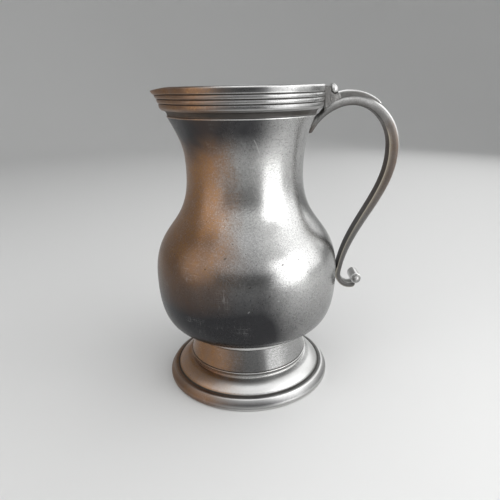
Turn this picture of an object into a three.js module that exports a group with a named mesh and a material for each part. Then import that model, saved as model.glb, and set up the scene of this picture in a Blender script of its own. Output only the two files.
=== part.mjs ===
// A pewter pitcher: a turned baluster body with a reeded mouth and a pulled pouring lip, a stepped foot,
// and a strap handle that starts at a beaded lug and ends in a scroll.
// Millimetres, +Z up, the base on z = 0, the lip towards -X and the handle towards +X.
import * as THREE from 'three';

// Body: heights above the table and outer radii
const rimHeight = 170;
const rimRadius = 43.3;
const neckHeight = 124.5;
const neckRadius = 32.55;
const bellyHeight = 67;
const bellyRadius = 52.5;
const bowlHeight = 32.5;
const bowlRadius = 34;
const wall = 2.2;
const floorThickness = 2.4;
const seatGap = 0.3; // left between soldered pieces that meet on a curve

// Body curves: the share of each stretch's width or height over which it keeps its end direction
const bowlSpread = 0.32;
const bowlLift = 0.12;
const bellyFullness = 1;
const shoulderFullness = 0.52;
const neckSlenderness = 0.553;
const flareDelay = 0.47;
const flareOut = 0.61;
const flareUp = 0.27;

// Mouth: bands from the top down, with a groove under each but the last
const topBand = 3.7;
const reedBand = 2.35;
const reedCount = 2;
const lowerBand = 3.1;
const grooveDepth = 0.6;
const bandSwell = 0.25;
const mouthTaper = 0.5;
const mouthLipRound = 0.6;
const cavettoHeight = 3.1;
const neckLineHeight = 0.9;
const neckLineProud = 0.4;
const mouthFlare = 4.2;

// Pouring lip: the mouth is drawn out at -X, and a shallow gutter runs down the neck below it
const lipReach = 6.4;
const lipDrop = 1.8;
const lipHalfAngle = THREE.MathUtils.degToRad(34);
const gutterLength = 36;
const gutterShare = 0.3;
const lipSharpness = 1.6;

// Foot: base with a rounded edge, sloping band, ledge and swelling slope, then a flaring collar
const footRadius = 48.8;
const edgeRound = 1.2;
const edgeHeight = 3.2;
const edgeBreak = 0.3;
const standWidth = 3.6;
const bandSlope = 2.4;
const bandTopHeight = 6.7;
const ledgeWidth = 2.9;
const slopeSwell = 0.3;
const baseHeight = 12.8;
const collarRadius = 34.9;
const collarStep = 2.4;
const collarLip = 0.6;
const collarLipHeight = 0.9;
const waistRadius = 31.8;
const collarFlare = 0.45;
const collarRing = 3.9;
const collarRingDepth = 1.4;
const footWall = 2.3;
const hollowShare = 0.7;

// Handle: root on the neck, crest, grip and heel as offsets from the rim and the belly
const rootDrop = 25.5;
const crestOut = 15.6;
const crestDrop = 8.6;
const gripOut = 39.1;
const gripDrop = 34.5;
const heelDrop = 4.5;
const rootLean = 0.1;
const rootPull = 9.5;
const crestPullIn = 12.5;
const crestPullOut = 13;
const gripPull = 14;
const runPull = 27;
const heelPull = 30;
const heelLean = THREE.MathUtils.degToRad(8.2);
const curlRadius = 7;
const curlEnd = THREE.MathUtils.degToRad(286);
const strapWidth = 8.4;
const rootWidth = 4.6;
const rootThickness = 1.5;
const crestThickness = 5.2;
const gripThickness = 7.2;
const heelThickness = 3.6;
const curlThickness = 3.2;
const rootTaper = 0.7;
const archSpring = -0.02; // where the arch of the section starts, as a share of the thickness off its middle

// Handle ornaments
const tongueClear = 1.5;
const tongueFront = 14.5;
const tongueHeight = 3.4;
const tongueWidth = 4.6;
const tongueTip = 0.2;
const tongueRoot = 0.92;
const lugWidth = 6.4;
const lugTopDrop = 0.7;
const lugEndHeight = 1.3;
const beadOut = 5;
const beadDrop = 2.5;
const beadLength = 5.9;
const beadWidth = 4.3;
const beadBreadth = 7;
const beadLean = THREE.MathUtils.degToRad(24);
const seatTurn = THREE.MathUtils.degToRad(144);
const rollRadius = 3.1;
const rollLength = 10.6;
const rollLift = THREE.MathUtils.degToRad(45);
const buttonCollarRadius = 2.9;
const buttonCollarHeight = 0.5;
const buttonRadius = 2.35;
const buttonHeight = 1.7;

// Fineness of the facets
const turns = 48;
const bodySteps = 9;
const strapSteps = [10, 9, 11, 9];
const tongueSteps = 14;
const lugSteps = 4;
const archSteps = 6;
const beadTurns = 14;
const rollTurns = 24;

const bodyPewter = { color: 0x9a9a98, roughness: 0.36, metalness: 1 };
const rimPewter = { color: 0xa3a19c, roughness: 0.32, metalness: 1 };
const footPewter = { color: 0x9d9b96, roughness: 0.3, metalness: 1 };
const handlePewter = { color: 0xa5a098, roughness: 0.34, metalness: 1 };

const mouthBase = rimHeight - topBand - reedBand * reedCount - lowerBand - cavettoHeight - neckLineHeight;
const neckTopRadius = rimRadius - mouthFlare;

function point(radius, height) {
  return new THREE.Vector2(radius, height);
}

// The body's outer line in three smooth stretches: belly, shoulder and flaring neck.
const bellyRise = bellyHeight - bowlHeight;
const shoulderRise = neckHeight - bellyHeight;
const flareRise = mouthBase - neckHeight;
const bellyCurve = new THREE.CubicBezierCurve(
  point(bowlRadius, bowlHeight),
  point(bowlRadius + bowlSpread * (bellyRadius - bowlRadius), bowlHeight + bowlLift * bellyRise),
  point(bellyRadius, bellyHeight - bellyFullness * bellyRise),
  point(bellyRadius, bellyHeight),
);
const shoulderCurve = new THREE.CubicBezierCurve(
  point(bellyRadius, bellyHeight),
  point(bellyRadius, bellyHeight + shoulderFullness * shoulderRise),
  point(neckRadius, neckHeight - neckSlenderness * shoulderRise),
  point(neckRadius, neckHeight),
);
const flareCurve = new THREE.CubicBezierCurve(
  point(neckRadius, neckHeight),
  point(neckRadius, neckHeight + flareDelay * flareRise),
  point(neckTopRadius - flareOut * (neckTopRadius - neckRadius), mouthBase - flareUp * flareRise),
  point(neckTopRadius, mouthBase),
);

// The outer radius of the body at a height, found by halving on the stretch that holds it.
function bodyRadius(height) {
  const stretches = [bellyCurve, shoulderCurve, flareCurve];
  const curve = stretches.find((stretch) => stretch.v3.y >= height) ?? flareCurve;
  let low = 0;
  let high = 1;
  for (let i = 0; i < 40; i += 1) {
    const middle = (low + high) / 2;
    if (curve.getPoint(middle).y < height) {
      low = middle;
    } else {
      high = middle;
    }
  }
  return curve.getPoint((low + high) / 2).x;
}

// The line that lies a wall's thickness inside a curve, seen along its length.
function innerLine(curve, steps, thickness) {
  return Array.from({ length: steps + 1 }, (_, i) => {
    const tangent = curve.getTangent(i / steps);
    const outer = curve.getPoint(i / steps);
    return point(outer.x - tangent.y * thickness, outer.y + tangent.x * thickness);
  });
}

// How far the lip draws out a point of the mouth or neck: 0 away from -X, rising towards the rim.
function lipShare(angle, height) {
  const away = Math.PI - Math.abs(angle);
  if (away >= lipHalfAngle) {
    return 0;
  }
  const across = Math.cos((Math.PI / 2) * (away / lipHalfAngle)) ** 2;
  const gutter = THREE.MathUtils.smoothstep(height, rimHeight - gutterLength, mouthBase);
  const climb = Math.max(0, (height - mouthBase - cavettoHeight) / (rimHeight - mouthBase - cavettoHeight));
  return across * (gutterShare * gutter + (1 - gutterShare) * climb ** lipSharpness);
}

// Draws the lip out of a turned piece: points move outwards and, near the rim, slightly down.
function pullLip(geometry) {
  const positions = geometry.getAttribute('position');
  for (let i = 0; i < positions.count; i += 1) {
    const x = positions.getX(i);
    const y = positions.getY(i);
    const z = positions.getZ(i);
    const angle = Math.atan2(y, x);
    const share = lipShare(angle, z);
    const sink = THREE.MathUtils.smoothstep(z, rimHeight - topBand - reedBand, rimHeight);
    const radius = Math.hypot(x, y) + lipReach * share;
    positions.setXYZ(i, radius * Math.cos(angle), radius * Math.sin(angle), z - lipDrop * share * sink);
  }
  return geometry;
}

// A solid turned about +Z from a profile that goes up its outside and down its inside.
function turned(profile) {
  const geometry = new THREE.LatheGeometry(profile, turns);
  return geometry.rotateX(Math.PI / 2);
}

function closed(profile) {
  return [...profile, profile[0].clone()];
}

// A solid through rings of points, each ring with as many points, closed by a fan at both ends.
function loft(rings) {
  const count = rings[0].length;
  const last = (rings.length - 1) * count;
  const indices = [];
  for (let i = 0; i < rings.length - 1; i += 1) {
    for (let j = 0; j < count; j += 1) {
      const a = i * count + j;
      const b = i * count + ((j + 1) % count);
      indices.push(a, b, a + count, b, b + count, a + count);
    }
  }
  for (let j = 1; j < count - 1; j += 1) {
    indices.push(0, j + 1, j);
    indices.push(last, last + j, last + j + 1);
  }
  const geometry = new THREE.BufferGeometry();
  geometry.setFromPoints(rings.flat());
  geometry.setIndex(indices);
  geometry.computeVertexNormals();
  return geometry;
}

function part(name, geometry, finish) {
  const mesh = new THREE.Mesh(geometry, new THREE.MeshStandardMaterial(finish));
  mesh.name = name;
  return mesh;
}

// One band of the mouth, from its groove up to its upper edge, swelling slightly in the middle.
function bandOutline(radius, low, height) {
  const edge = height * 0.18;
  return [
    point(radius - grooveDepth, low),
    point(radius, low + edge),
    point(radius + bandSwell, low + height / 2),
    point(radius, low + height - edge),
  ];
}

// The mouth's reeded ring: neck line, hollow, lower band, reeds, top band and rounded rim.
function mouthRim() {
  const outline = [
    point(neckTopRadius + neckLineProud / 2, mouthBase),
    point(neckTopRadius + neckLineProud, mouthBase + neckLineHeight / 2),
    point(neckTopRadius, mouthBase + neckLineHeight),
  ];
  const hollowBase = mouthBase + neckLineHeight;
  const lowRadius = rimRadius - mouthTaper;
  const hollowDepth = lowRadius - neckTopRadius;
  outline.push(point(neckTopRadius + hollowDepth * 0.2, hollowBase + cavettoHeight * 0.55));
  let low = hollowBase + cavettoHeight;
  const bands = [lowerBand, ...Array(reedCount).fill(reedBand), topBand];
  bands.forEach((height, i) => {
    const radius = lowRadius + mouthTaper * (i / (bands.length - 1));
    outline.push(...bandOutline(radius, low, height - (i === bands.length - 1 ? mouthLipRound : 0)));
    low += height;
  });
  outline.push(point(rimRadius - mouthLipRound, rimHeight));
  outline.push(point(rimRadius - wall, rimHeight));
  outline.push(point(rimRadius - wall - mouthLipRound, rimHeight - mouthLipRound));
  outline.push(point(lowRadius - wall - grooveDepth, hollowBase + cavettoHeight));
  outline.push(point(neckTopRadius - wall, mouthBase));
  return part('mouth_rim', pullLip(turned(closed(outline))), rimPewter);
}

// The upper body: shoulder and neck up to the mouth, open at both ends.
function neckShell() {
  const innerFlare = innerLine(flareCurve, bodySteps, wall).slice(1);
  const inner = [...innerLine(shoulderCurve, bodySteps, wall), ...innerFlare];
  inner[0] = point(bellyRadius - wall, bellyHeight);
  inner[inner.length - 1] = point(neckTopRadius - wall, mouthBase);
  const outer = [...shoulderCurve.getPoints(bodySteps), ...flareCurve.getPoints(bodySteps).slice(1)];
  return part('neck_shell', pullLip(turned(closed([...outer, ...inner.reverse()]))), bodyPewter);
}

// The lower body: a bowl with its own flat floor, which stands on the collar.
function bellyBowl() {
  const floorTop = bowlHeight + floorThickness;
  const inner = innerLine(bellyCurve, bodySteps, wall).filter((spot) => spot.y > floorTop + 1);
  inner[inner.length - 1] = point(bellyRadius - wall, bellyHeight);
  const outline = [
    point(0, bowlHeight),
    ...bellyCurve.getPoints(bodySteps),
    ...inner.reverse(),
    point(bowlRadius, floorTop),
    point(0, floorTop),
  ];
  return part('belly_bowl', turned(outline), bodyPewter);
}

// The collar between bowl and base: a ring at the top, a flaring wall, a thin lip and a plain step under it.
function footCollar() {
  const lipLow = baseHeight + collarStep;
  const lipTop = lipLow + collarLipHeight;
  const ringLow = bowlHeight - collarRing;
  const waistCurve = new THREE.QuadraticBezierCurve(
    point(collarRadius, lipTop),
    point(waistRadius + collarFlare * (collarRadius - waistRadius), (lipTop + ringLow) / 2),
    point(waistRadius, ringLow),
  );
  const inside = waistRadius - footWall;
  const outline = [
    point(collarRadius, baseHeight),
    point(collarRadius, lipLow),
    point(collarRadius + collarLip, lipLow + collarLipHeight * 0.3),
    point(collarRadius + collarLip, lipLow + collarLipHeight * 0.7),
    ...waistCurve.getPoints(5),
    point(bowlRadius - collarRingDepth, ringLow),
    point(bowlRadius - collarRingDepth * 0.3, ringLow + collarRing * 0.16),
    point(bowlRadius, ringLow + collarRing * 0.5),
    point(bowlRadius, bowlHeight),
    point(inside, bowlHeight),
    point(inside, ringLow),
    point(collarRadius - footWall, lipLow),
    point(collarRadius - footWall, baseHeight),
  ];
  return part('foot_collar', turned(closed(outline)), footPewter);
}

// The spreading base: flat standing ring, rounded edge, sloping band, ledge and a slope that swells a little.
function footBase() {
  const standRadius = footRadius - edgeRound;
  const standInnerRadius = standRadius - standWidth;
  const bandTopRadius = footRadius - bandSlope;
  const slopeRadius = bandTopRadius - ledgeWidth;
  const seatRadius = collarRadius + collarLip;
  const run = slopeRadius - seatRadius;
  const rise = baseHeight - bandTopHeight;
  const hollowBase = bandTopHeight - footWall;
  const bulge = (1 + slopeSwell) / 2;
  const slope = new THREE.QuadraticBezierCurve(
    point(slopeRadius, bandTopHeight),
    point(seatRadius + bulge * run, bandTopHeight + bulge * rise),
    point(seatRadius, baseHeight),
  );
  const hollowRun = hollowShare * run;
  const inside = new THREE.QuadraticBezierCurve(
    point(seatRadius + hollowRun, hollowBase),
    point(seatRadius + bulge * hollowRun, hollowBase + bulge * rise),
    point(seatRadius, hollowBase + rise),
  );
  const outline = [
    point(standRadius, 0),
    point(footRadius - 0.25 * edgeRound, edgeHeight * 0.3),
    point(footRadius, edgeHeight * 0.65),
    point(footRadius - edgeBreak / 2, edgeHeight),
    point(bandTopRadius, bandTopHeight - edgeBreak),
    point(bandTopRadius - edgeBreak, bandTopHeight),
    ...slope.getPoints(6),
    point(collarRadius - footWall, baseHeight),
    point(collarRadius - footWall, baseHeight - footWall),
    ...inside.getPoints(4).reverse(),
    point(standInnerRadius, edgeHeight),
    point(standInnerRadius, 0),
  ];
  return part('foot_base', turned(closed(outline)), footPewter);
}

// The strap's middle line, in the upright plane of the handle: neck to crest, crest to grip, grip to heel,
// and the curl that the scroll hangs on.
const rootHeight = rimHeight - rootDrop;
const root = point(bodyRadius(rootHeight) + seatGap + rootThickness * 0.65, rootHeight);
const crest = point(rimRadius + crestOut, rimHeight - crestDrop);
const grip = point(rimRadius + gripOut, rimHeight - gripDrop);
const curlCentre = point(
  bodyRadius(bellyHeight - heelDrop) + seatGap + heelThickness / 2 + curlRadius,
  bellyHeight - heelDrop,
);
const curlStart = Math.PI - heelLean;
const heel = point(
  curlCentre.x + curlRadius * Math.cos(curlStart),
  curlCentre.y + curlRadius * Math.sin(curlStart),
);
const neckSlope = (bodyRadius(rootHeight + rootThickness) - bodyRadius(rootHeight)) / rootThickness;
const rootRise = point(neckSlope + rootLean, 1).normalize();
const strapLine = new THREE.CurvePath();
strapLine.add(new THREE.CubicBezierCurve(
  root,
  point(root.x + rootRise.x * rootPull, root.y + rootRise.y * rootPull),
  point(crest.x - crestPullIn, crest.y),
  crest,
));
strapLine.add(new THREE.CubicBezierCurve(
  crest,
  point(crest.x + crestPullOut, crest.y),
  point(grip.x, grip.y + gripPull),
  grip,
));
strapLine.add(new THREE.CubicBezierCurve(
  grip,
  point(grip.x, grip.y - runPull),
  point(heel.x + heelPull * Math.sin(heelLean), heel.y + heelPull * Math.cos(heelLean)),
  heel,
));
strapLine.add(new THREE.EllipseCurve(
  curlCentre.x, curlCentre.y, curlRadius, curlRadius, curlStart, curlEnd, false, 0,
));
const strapLength = strapLine.getLength();
const strapStops = [0, ...strapLine.getCurveLengths().map((length) => length / strapLength)];
const crestAt = strapStops[1];

// A size that goes from one named value to the next along the strap; off the root it grows early.
function alongStrap(at, sizes) {
  const i = Math.max(0, strapStops.findIndex((stop) => at <= stop + 1e-9) - 1);
  const share = (at - strapStops[i]) / (strapStops[i + 1] - strapStops[i]);
  const eased = i === 0 ? THREE.MathUtils.smoothstep(share, 0, rootTaper) : share;
  return THREE.MathUtils.lerp(sizes[i], sizes[i + 1], eased);
}

function strapThickness(at) {
  return alongStrap(at, [rootThickness, crestThickness, gripThickness, heelThickness, curlThickness]);
}

function strapBreadth(at) {
  return alongStrap(at, [rootWidth, strapWidth, strapWidth, strapWidth, strapWidth]);
}

// The middle of the strap and the direction that points away from the hand, at a share of its length.
function strapFrame(at) {
  const tangent = strapLine.getTangent(at);
  return { middle: strapLine.getPoint(at), away: point(-tangent.y, tangent.x) };
}

function besideStrap(frame, across, out) {
  const spot = frame.middle.clone().addScaledVector(frame.away, out);
  return new THREE.Vector3(spot.x, across, spot.y);
}

// The strap's section, as shares of its width and thickness: an arch over short flanks, hardly round inside.
const strapArch = Array.from({ length: archSteps + 1 }, (_, i) => {
  const turn = Math.PI * (i / archSteps);
  return [Math.cos(turn) / 2, archSpring + (0.5 - archSpring) * Math.sin(turn)];
});
const strapSection = [[0, -0.5], [0.44, -0.46], [0.5, -0.38], ...strapArch, [-0.5, -0.38], [-0.44, -0.46]];

function handleStrap() {
  const shares = strapSteps.flatMap((steps, i) => {
    const step = (strapStops[i + 1] - strapStops[i]) / steps;
    return Array.from({ length: steps }, (_, k) => strapStops[i] + step * k);
  });
  const rings = [...shares, 1].map((at) => {
    const frame = strapFrame(at);
    const breadth = strapBreadth(at);
    const thickness = strapThickness(at);
    return strapSection.map(([across, out]) => besideStrap(frame, across * breadth, out * thickness));
  });
  return part('handle_strap', loft(rings), handlePewter);
}

// A point of the strap's back, lifted off it by a clearance.
function strapBack(at, clearance) {
  const frame = strapFrame(at);
  return frame.middle.clone().addScaledVector(frame.away, strapThickness(at) / 2 + clearance);
}

// The share of the strap's length, before the crest, at which its back is a given distance from the axis.
function strapShareAt(x) {
  let low = 0;
  let high = crestAt;
  for (let i = 0; i < 40; i += 1) {
    const middle = (low + high) / 2;
    if (strapBack(middle, seatGap).x < x) {
      low = middle;
    } else {
      high = middle;
    }
  }
  return (low + high) / 2;
}

// The bead's centre, lean and a point on its outline grown by a clearance; turn runs once round it.
const beadCentre = point(rimRadius + beadOut, rimHeight - beadDrop);
function beadOutline(turn, clearance) {
  const along = (beadLength / 2 + clearance) * Math.cos(turn);
  const across = (beadWidth / 2 + clearance) * Math.sin(turn);
  const spot = point(-across, along);
  return spot.rotateAround(point(0, 0), beadLean).add(beadCentre);
}

// The raised tongue on the strap's back: full behind the bead, running out to a point before the grip.
const tongueStart = strapShareAt(beadCentre.x + beadWidth / 2 + tongueClear);
function handleTongue() {
  const finish = crestAt + tongueFront / strapLength;
  const rings = Array.from({ length: tongueSteps + 1 }, (_, i) => {
    const share = i / tongueSteps;
    const at = THREE.MathUtils.lerp(tongueStart, finish, share);
    const frame = strapFrame(at);
    const fade = THREE.MathUtils.lerp(1, tongueTip, share ** 1.1);
    const rise = THREE.MathUtils.lerp(tongueRoot, 1, THREE.MathUtils.smoothstep(share, 0, 0.2));
    const low = strapThickness(at) / 2 + seatGap;
    const half = (tongueWidth / 2) * fade;
    const high = low + tongueHeight * fade * rise;
    return [
      besideStrap(frame, -half, low),
      besideStrap(frame, half, low),
      besideStrap(frame, half * 0.9, (low + high) / 2),
      besideStrap(frame, half * 0.4, high),
      besideStrap(frame, -half * 0.4, high),
      besideStrap(frame, -half * 0.9, (low + high) / 2),
    ];
  });
  return part('handle_tongue', loft(rings), handlePewter);
}

// The lug that fills the corner between rim and strap, with a hollow seat for the bead.
function handleLug() {
  const rimSide = rimRadius + bandSwell + seatGap;
  const lugStart = strapShareAt(rimSide);
  const lugEnd = tongueStart - (2 * seatGap) / strapLength;
  const onStrap = Array.from({ length: lugSteps + 1 }, (_, i) => {
    return strapBack(THREE.MathUtils.lerp(lugStart, lugEnd, i / lugSteps), seatGap);
  });
  const seat = Array.from({ length: lugSteps + 1 }, (_, i) => {
    return beadOutline(Math.PI - seatTurn * (i / lugSteps), seatGap);
  });
  const outline = new THREE.Shape([
    point(rimSide, rimHeight - lugTopDrop),
    ...onStrap,
    strapBack(lugEnd, seatGap + lugEndHeight),
    ...seat,
  ]);
  const geometry = new THREE.ExtrudeGeometry(outline, { depth: lugWidth, bevelEnabled: false });
  geometry.rotateX(Math.PI / 2);
  geometry.translate(0, lugWidth / 2, 0);
  return part('handle_lug', geometry, handlePewter);
}

function thumbBead() {
  const geometry = new THREE.SphereGeometry(beadWidth / 2, beadTurns, 10);
  geometry.rotateX(Math.PI / 2);
  geometry.scale(1, beadBreadth / beadWidth, beadLength / beadWidth);
  const mesh = part('thumb_bead', geometry, handlePewter);
  mesh.position.set(beadCentre.x, 0, beadCentre.y);
  mesh.rotation.y = -beadLean;
  return mesh;
}

// The scroll's roll lies across the strap, against the upper edge of its end, with a button on each end.
const rollTurn = curlEnd + Math.PI / 2 + rollLift;
const rollReach = rollRadius + seatGap;
const rollOffset = point(rollReach, 0).rotateAround(point(0, 0), rollTurn);
const rollCentre = strapBack(1, 0).add(rollOffset);

function scrollRoll() {
  const geometry = new THREE.CylinderGeometry(rollRadius, rollRadius, rollLength, rollTurns);
  const mesh = part('scroll_roll', geometry, handlePewter);
  mesh.position.set(rollCentre.x, 0, rollCentre.y);
  return mesh;
}

function scrollButton(name, side) {
  const low = buttonCollarHeight;
  const dome = new THREE.EllipseCurve(0, low, buttonRadius, buttonHeight, 0, Math.PI / 2, false, 0);
  const outline = [
    point(0, 0),
    point(buttonCollarRadius, 0),
    point(buttonCollarRadius, low),
    ...dome.getPoints(5).slice(0, -1),
    point(0, low + buttonHeight),
  ];
  const geometry = new THREE.LatheGeometry(outline, rollTurns);
  if (side < 0) {
    geometry.rotateX(Math.PI);
  }
  const mesh = part(name, geometry, handlePewter);
  mesh.position.set(rollCentre.x, side * (rollLength / 2), rollCentre.y);
  return mesh;
}

const pitcher = new THREE.Group();
pitcher.add(mouthRim(), neckShell(), bellyBowl(), footCollar(), footBase());
pitcher.add(handleStrap(), handleTongue(), handleLug(), thumbBead());
pitcher.add(scrollRoll(), scrollButton('scroll_button_near', -1), scrollButton('scroll_button_far', 1));

// The origin is under the middle of the whole outline, between the belly's far side and the grip.
const reach = new THREE.Box3().setFromObject(pitcher, true);
pitcher.position.x = -(reach.min.x + reach.max.x) / 2;

export default pitcher;
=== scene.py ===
"""Dresses a packed pewter pitcher: turned body, reeded mouth with a pouring lip, stepped foot, strap handle.

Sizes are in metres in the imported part's frame: +Z up, the lip towards -X, the handle towards +X.
"""

import math
from functools import partial
from typing import NamedTuple

import bpy
import numpy as np
from mathutils import Matrix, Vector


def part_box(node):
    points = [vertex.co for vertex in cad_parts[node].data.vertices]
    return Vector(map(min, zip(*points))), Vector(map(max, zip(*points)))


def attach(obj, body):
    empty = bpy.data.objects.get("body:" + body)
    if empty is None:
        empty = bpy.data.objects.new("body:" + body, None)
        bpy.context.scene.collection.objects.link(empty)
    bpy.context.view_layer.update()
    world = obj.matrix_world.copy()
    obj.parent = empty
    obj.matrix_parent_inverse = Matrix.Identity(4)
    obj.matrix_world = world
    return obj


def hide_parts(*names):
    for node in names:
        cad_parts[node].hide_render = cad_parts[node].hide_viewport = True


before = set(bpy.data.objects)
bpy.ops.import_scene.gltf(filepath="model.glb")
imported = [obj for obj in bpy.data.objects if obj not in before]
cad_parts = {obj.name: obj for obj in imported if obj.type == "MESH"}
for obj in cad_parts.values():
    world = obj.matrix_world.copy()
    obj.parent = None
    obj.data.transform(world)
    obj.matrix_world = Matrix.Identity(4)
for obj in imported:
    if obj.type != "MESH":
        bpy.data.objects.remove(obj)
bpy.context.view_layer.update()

bl_info = {
    "name": "Pewter pitcher",
    "version": (1, 0, 0),
    "blender": (4, 5, 0),
    "location": "3D View > Sidebar > Pitcher",
    "description": "Builds the pitcher's turned, bent and soldered pieces around its packed solids",
    "category": "Add Mesh",
}

MM = 0.001
PHOTO_SIDE = 500  # pixels along each side of the photograph's frame
TINY = 1e-8  # keeps a root off nothing, and tells two points apart
SHARP_ANGLE = math.radians(40)  # faces that meet at more than this keep a sharp edge
RELIEF_UNIT = 0.1 * MM  # height over the surroundings that counts as 1
RINSED = -0.8  # soil of the inside, which keeps hardly any aged skin or brown
SEGMENTS = {  # faces round the axis of each turned piece
    "mouth_rim": 288,
    "neck_shell": 224,
    "belly_bowl": 224,
    "foot_collar": 224,
    "foot_base": 240,
    "thumb_bead": 64,
    "scroll": 72,
    "floor": 96,
}


def box_of(node):
    """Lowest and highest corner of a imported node, as arrays."""
    low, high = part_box(node)
    return np.array(low), np.array(high)


MOUTH_LOW, MOUTH_HIGH = box_of("mouth_rim")
BOWL_LOW, BOWL_HIGH = box_of("belly_bowl")
COLLAR_HIGH = box_of("foot_collar")[1]
BASE_LOW, BASE_HIGH = box_of("foot_base")
ROLL_LOW, ROLL_HIGH = box_of("scroll_roll")
BEAD_LOW, BEAD_HIGH = box_of("thumb_bead")
AXIS_X = float(BASE_LOW[0] + BASE_HIGH[0]) / 2
AXIS = np.array([AXIS_X, 0, 0])
ROLL_CENTRE = (ROLL_LOW + ROLL_HIGH) / 2 - AXIS
BEAD_CENTRE = (BEAD_LOW + BEAD_HIGH) / 2 - AXIS


def length(name, description, default):
    """A size in metres."""
    return bpy.props.FloatProperty(
        name=name, description=description, default=default, unit="LENGTH", precision=5
    )


def share(name, description, default):
    """A share between nothing and all."""
    return bpy.props.FloatProperty(name=name, description=description, default=default, subtype="FACTOR")


def turn(name, description, degrees):
    """An angle."""
    return bpy.props.FloatProperty(
        name=name, description=description, default=math.radians(degrees), subtype="ANGLE"
    )


def power(name, description, default):
    """A lamp's power."""
    return bpy.props.FloatProperty(name=name, description=description, default=default, unit="POWER")


def spot(name, description, default):
    """A point of the handle's upright plane: distance from the axis and height."""
    return bpy.props.FloatVectorProperty(
        name=name, description=description, default=default, size=2, unit="LENGTH", precision=5
    )


def colour(name, description, default):
    """A linear colour."""
    return bpy.props.FloatVectorProperty(
        name=name, description=description, default=default, subtype="COLOR", min=0, max=1
    )


class PitcherBody(bpy.types.PropertyGroup):
    """Sizes of the two turned shells of the body."""

    belly_height: length("Belly height", "Height of the widest line", float(BOWL_HIGH[2]))
    belly_radius: length("Belly radius", "Radius at the widest line", float(BOWL_HIGH[1]))
    bowl_height: length("Bowl height", "Height of the bowl's floor above the table", float(BOWL_LOW[2]))
    bowl_radius: length("Bowl radius", "Radius where the bowl meets the collar", 34 * MM)
    neck_height: length("Neck height", "Height of the narrowest line", 124.5 * MM)
    neck_radius: length("Neck radius", "Radius at the narrowest line", 32.55 * MM)
    neck_top_radius: length("Neck top radius", "Radius where the neck meets the mouth ring", 39.1 * MM)
    wall: length("Wall", "Thickness of the shells", 2.2 * MM)
    floor: length("Floor", "Thickness of the bowl's floor", 2.4 * MM)
    belly_spread: share("Belly spread", "How far out the belly starts off the collar", 0.32)
    belly_lift: share("Belly lift", "How far up the belly starts off the collar", 0.12)
    belly_fullness: share("Belly fullness", "How upright the belly comes to its widest line", 1.0)
    shoulder_fullness: share("Shoulder fullness", "How upright the shoulder leaves the widest line", 0.52)
    neck_slenderness: share("Neck slenderness", "How upright the shoulder comes to the neck", 0.553)
    flare_rise: share("Flare rise", "How upright the flare leaves the neck", 0.47)
    flare_spread: share("Flare spread", "How far out the flare comes to the mouth", 0.61)
    flare_lift: share("Flare lift", "How far up the flare comes to the mouth", 0.27)


class PitcherMouth(bpy.types.PropertyGroup):
    """Sizes of the reeded mouth ring and its pouring lip."""

    rim_height: length("Rim height", "Height of the rim", float(MOUTH_HIGH[2]))
    base_height: length("Ring base", "Height where the ring starts", float(MOUTH_LOW[2]))
    rim_radius: length("Rim radius", "Outer radius at the rim", 43.3 * MM)
    top_band: length("Top band", "Height of the top band", 3.7 * MM)
    reed: length("Reed", "Height of each reed", 2.35 * MM)
    lower_band: length("Lower band", "Height of the lower band", 3.1 * MM)
    hollow: length("Hollow", "Height of the hollow under the lower band", 3.1 * MM)
    groove: length("Groove", "Depth of the grooves between the bands", 0.55 * MM)
    swell: length("Swell", "How far a band stands proud in its middle", 0.16 * MM)
    lip_reach: length("Lip reach", "How far the lip is drawn out", 6.4 * MM)
    lip_drop: length("Lip drop", "How far the lip's tip is bent down", 1.8 * MM)
    lip_half_angle: turn("Lip half angle", "Half the angle that the lip takes up", 34)
    gutter_length: length("Gutter length", "How far the lip's hollow runs down from the rim", 36 * MM)
    gutter_share: share("Gutter share", "Depth of the neck's gutter as a share of the reach", 0.3)


class PitcherFoot(bpy.types.PropertyGroup):
    """Sizes of the collar and the stepped base."""

    foot_radius: length("Foot radius", "Radius of the base's rounded edge", float(BASE_HIGH[1]))
    base_height: length("Base height", "Height of the base", float(BASE_HIGH[2]))
    band_height: length("Band height", "Height of the ledge above the sloping band", 6.7 * MM)
    band_radius: length("Band radius", "Radius at the top of the sloping band", 46.4 * MM)
    slope_radius: length("Slope radius", "Radius where the swelling slope starts", 43.5 * MM)
    slope_swell: share("Slope swell", "How far the slope bulges between flat and a quarter-round", 0.3)
    collar_radius: length("Collar radius", "Radius of the collar's plain step", 34.9 * MM)
    lip_radius: length("Collar lip", "Radius of the thin lip over the step", float(COLLAR_HIGH[1]))
    waist_radius: length("Waist radius", "Radius of the collar's narrowest line", 31.4 * MM)
    collar_flare: share("Collar flare", "How early the collar spreads downwards", 0.45)
    ring_height: length("Ring height", "Height where the ring under the bowl starts", 28.6 * MM)
    wall: length("Foot wall", "Thickness of the foot's walls", 2.3 * MM)
    stand_width: length("Standing ring", "Width of the flat ring that the foot stands on", 3.6 * MM)


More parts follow.
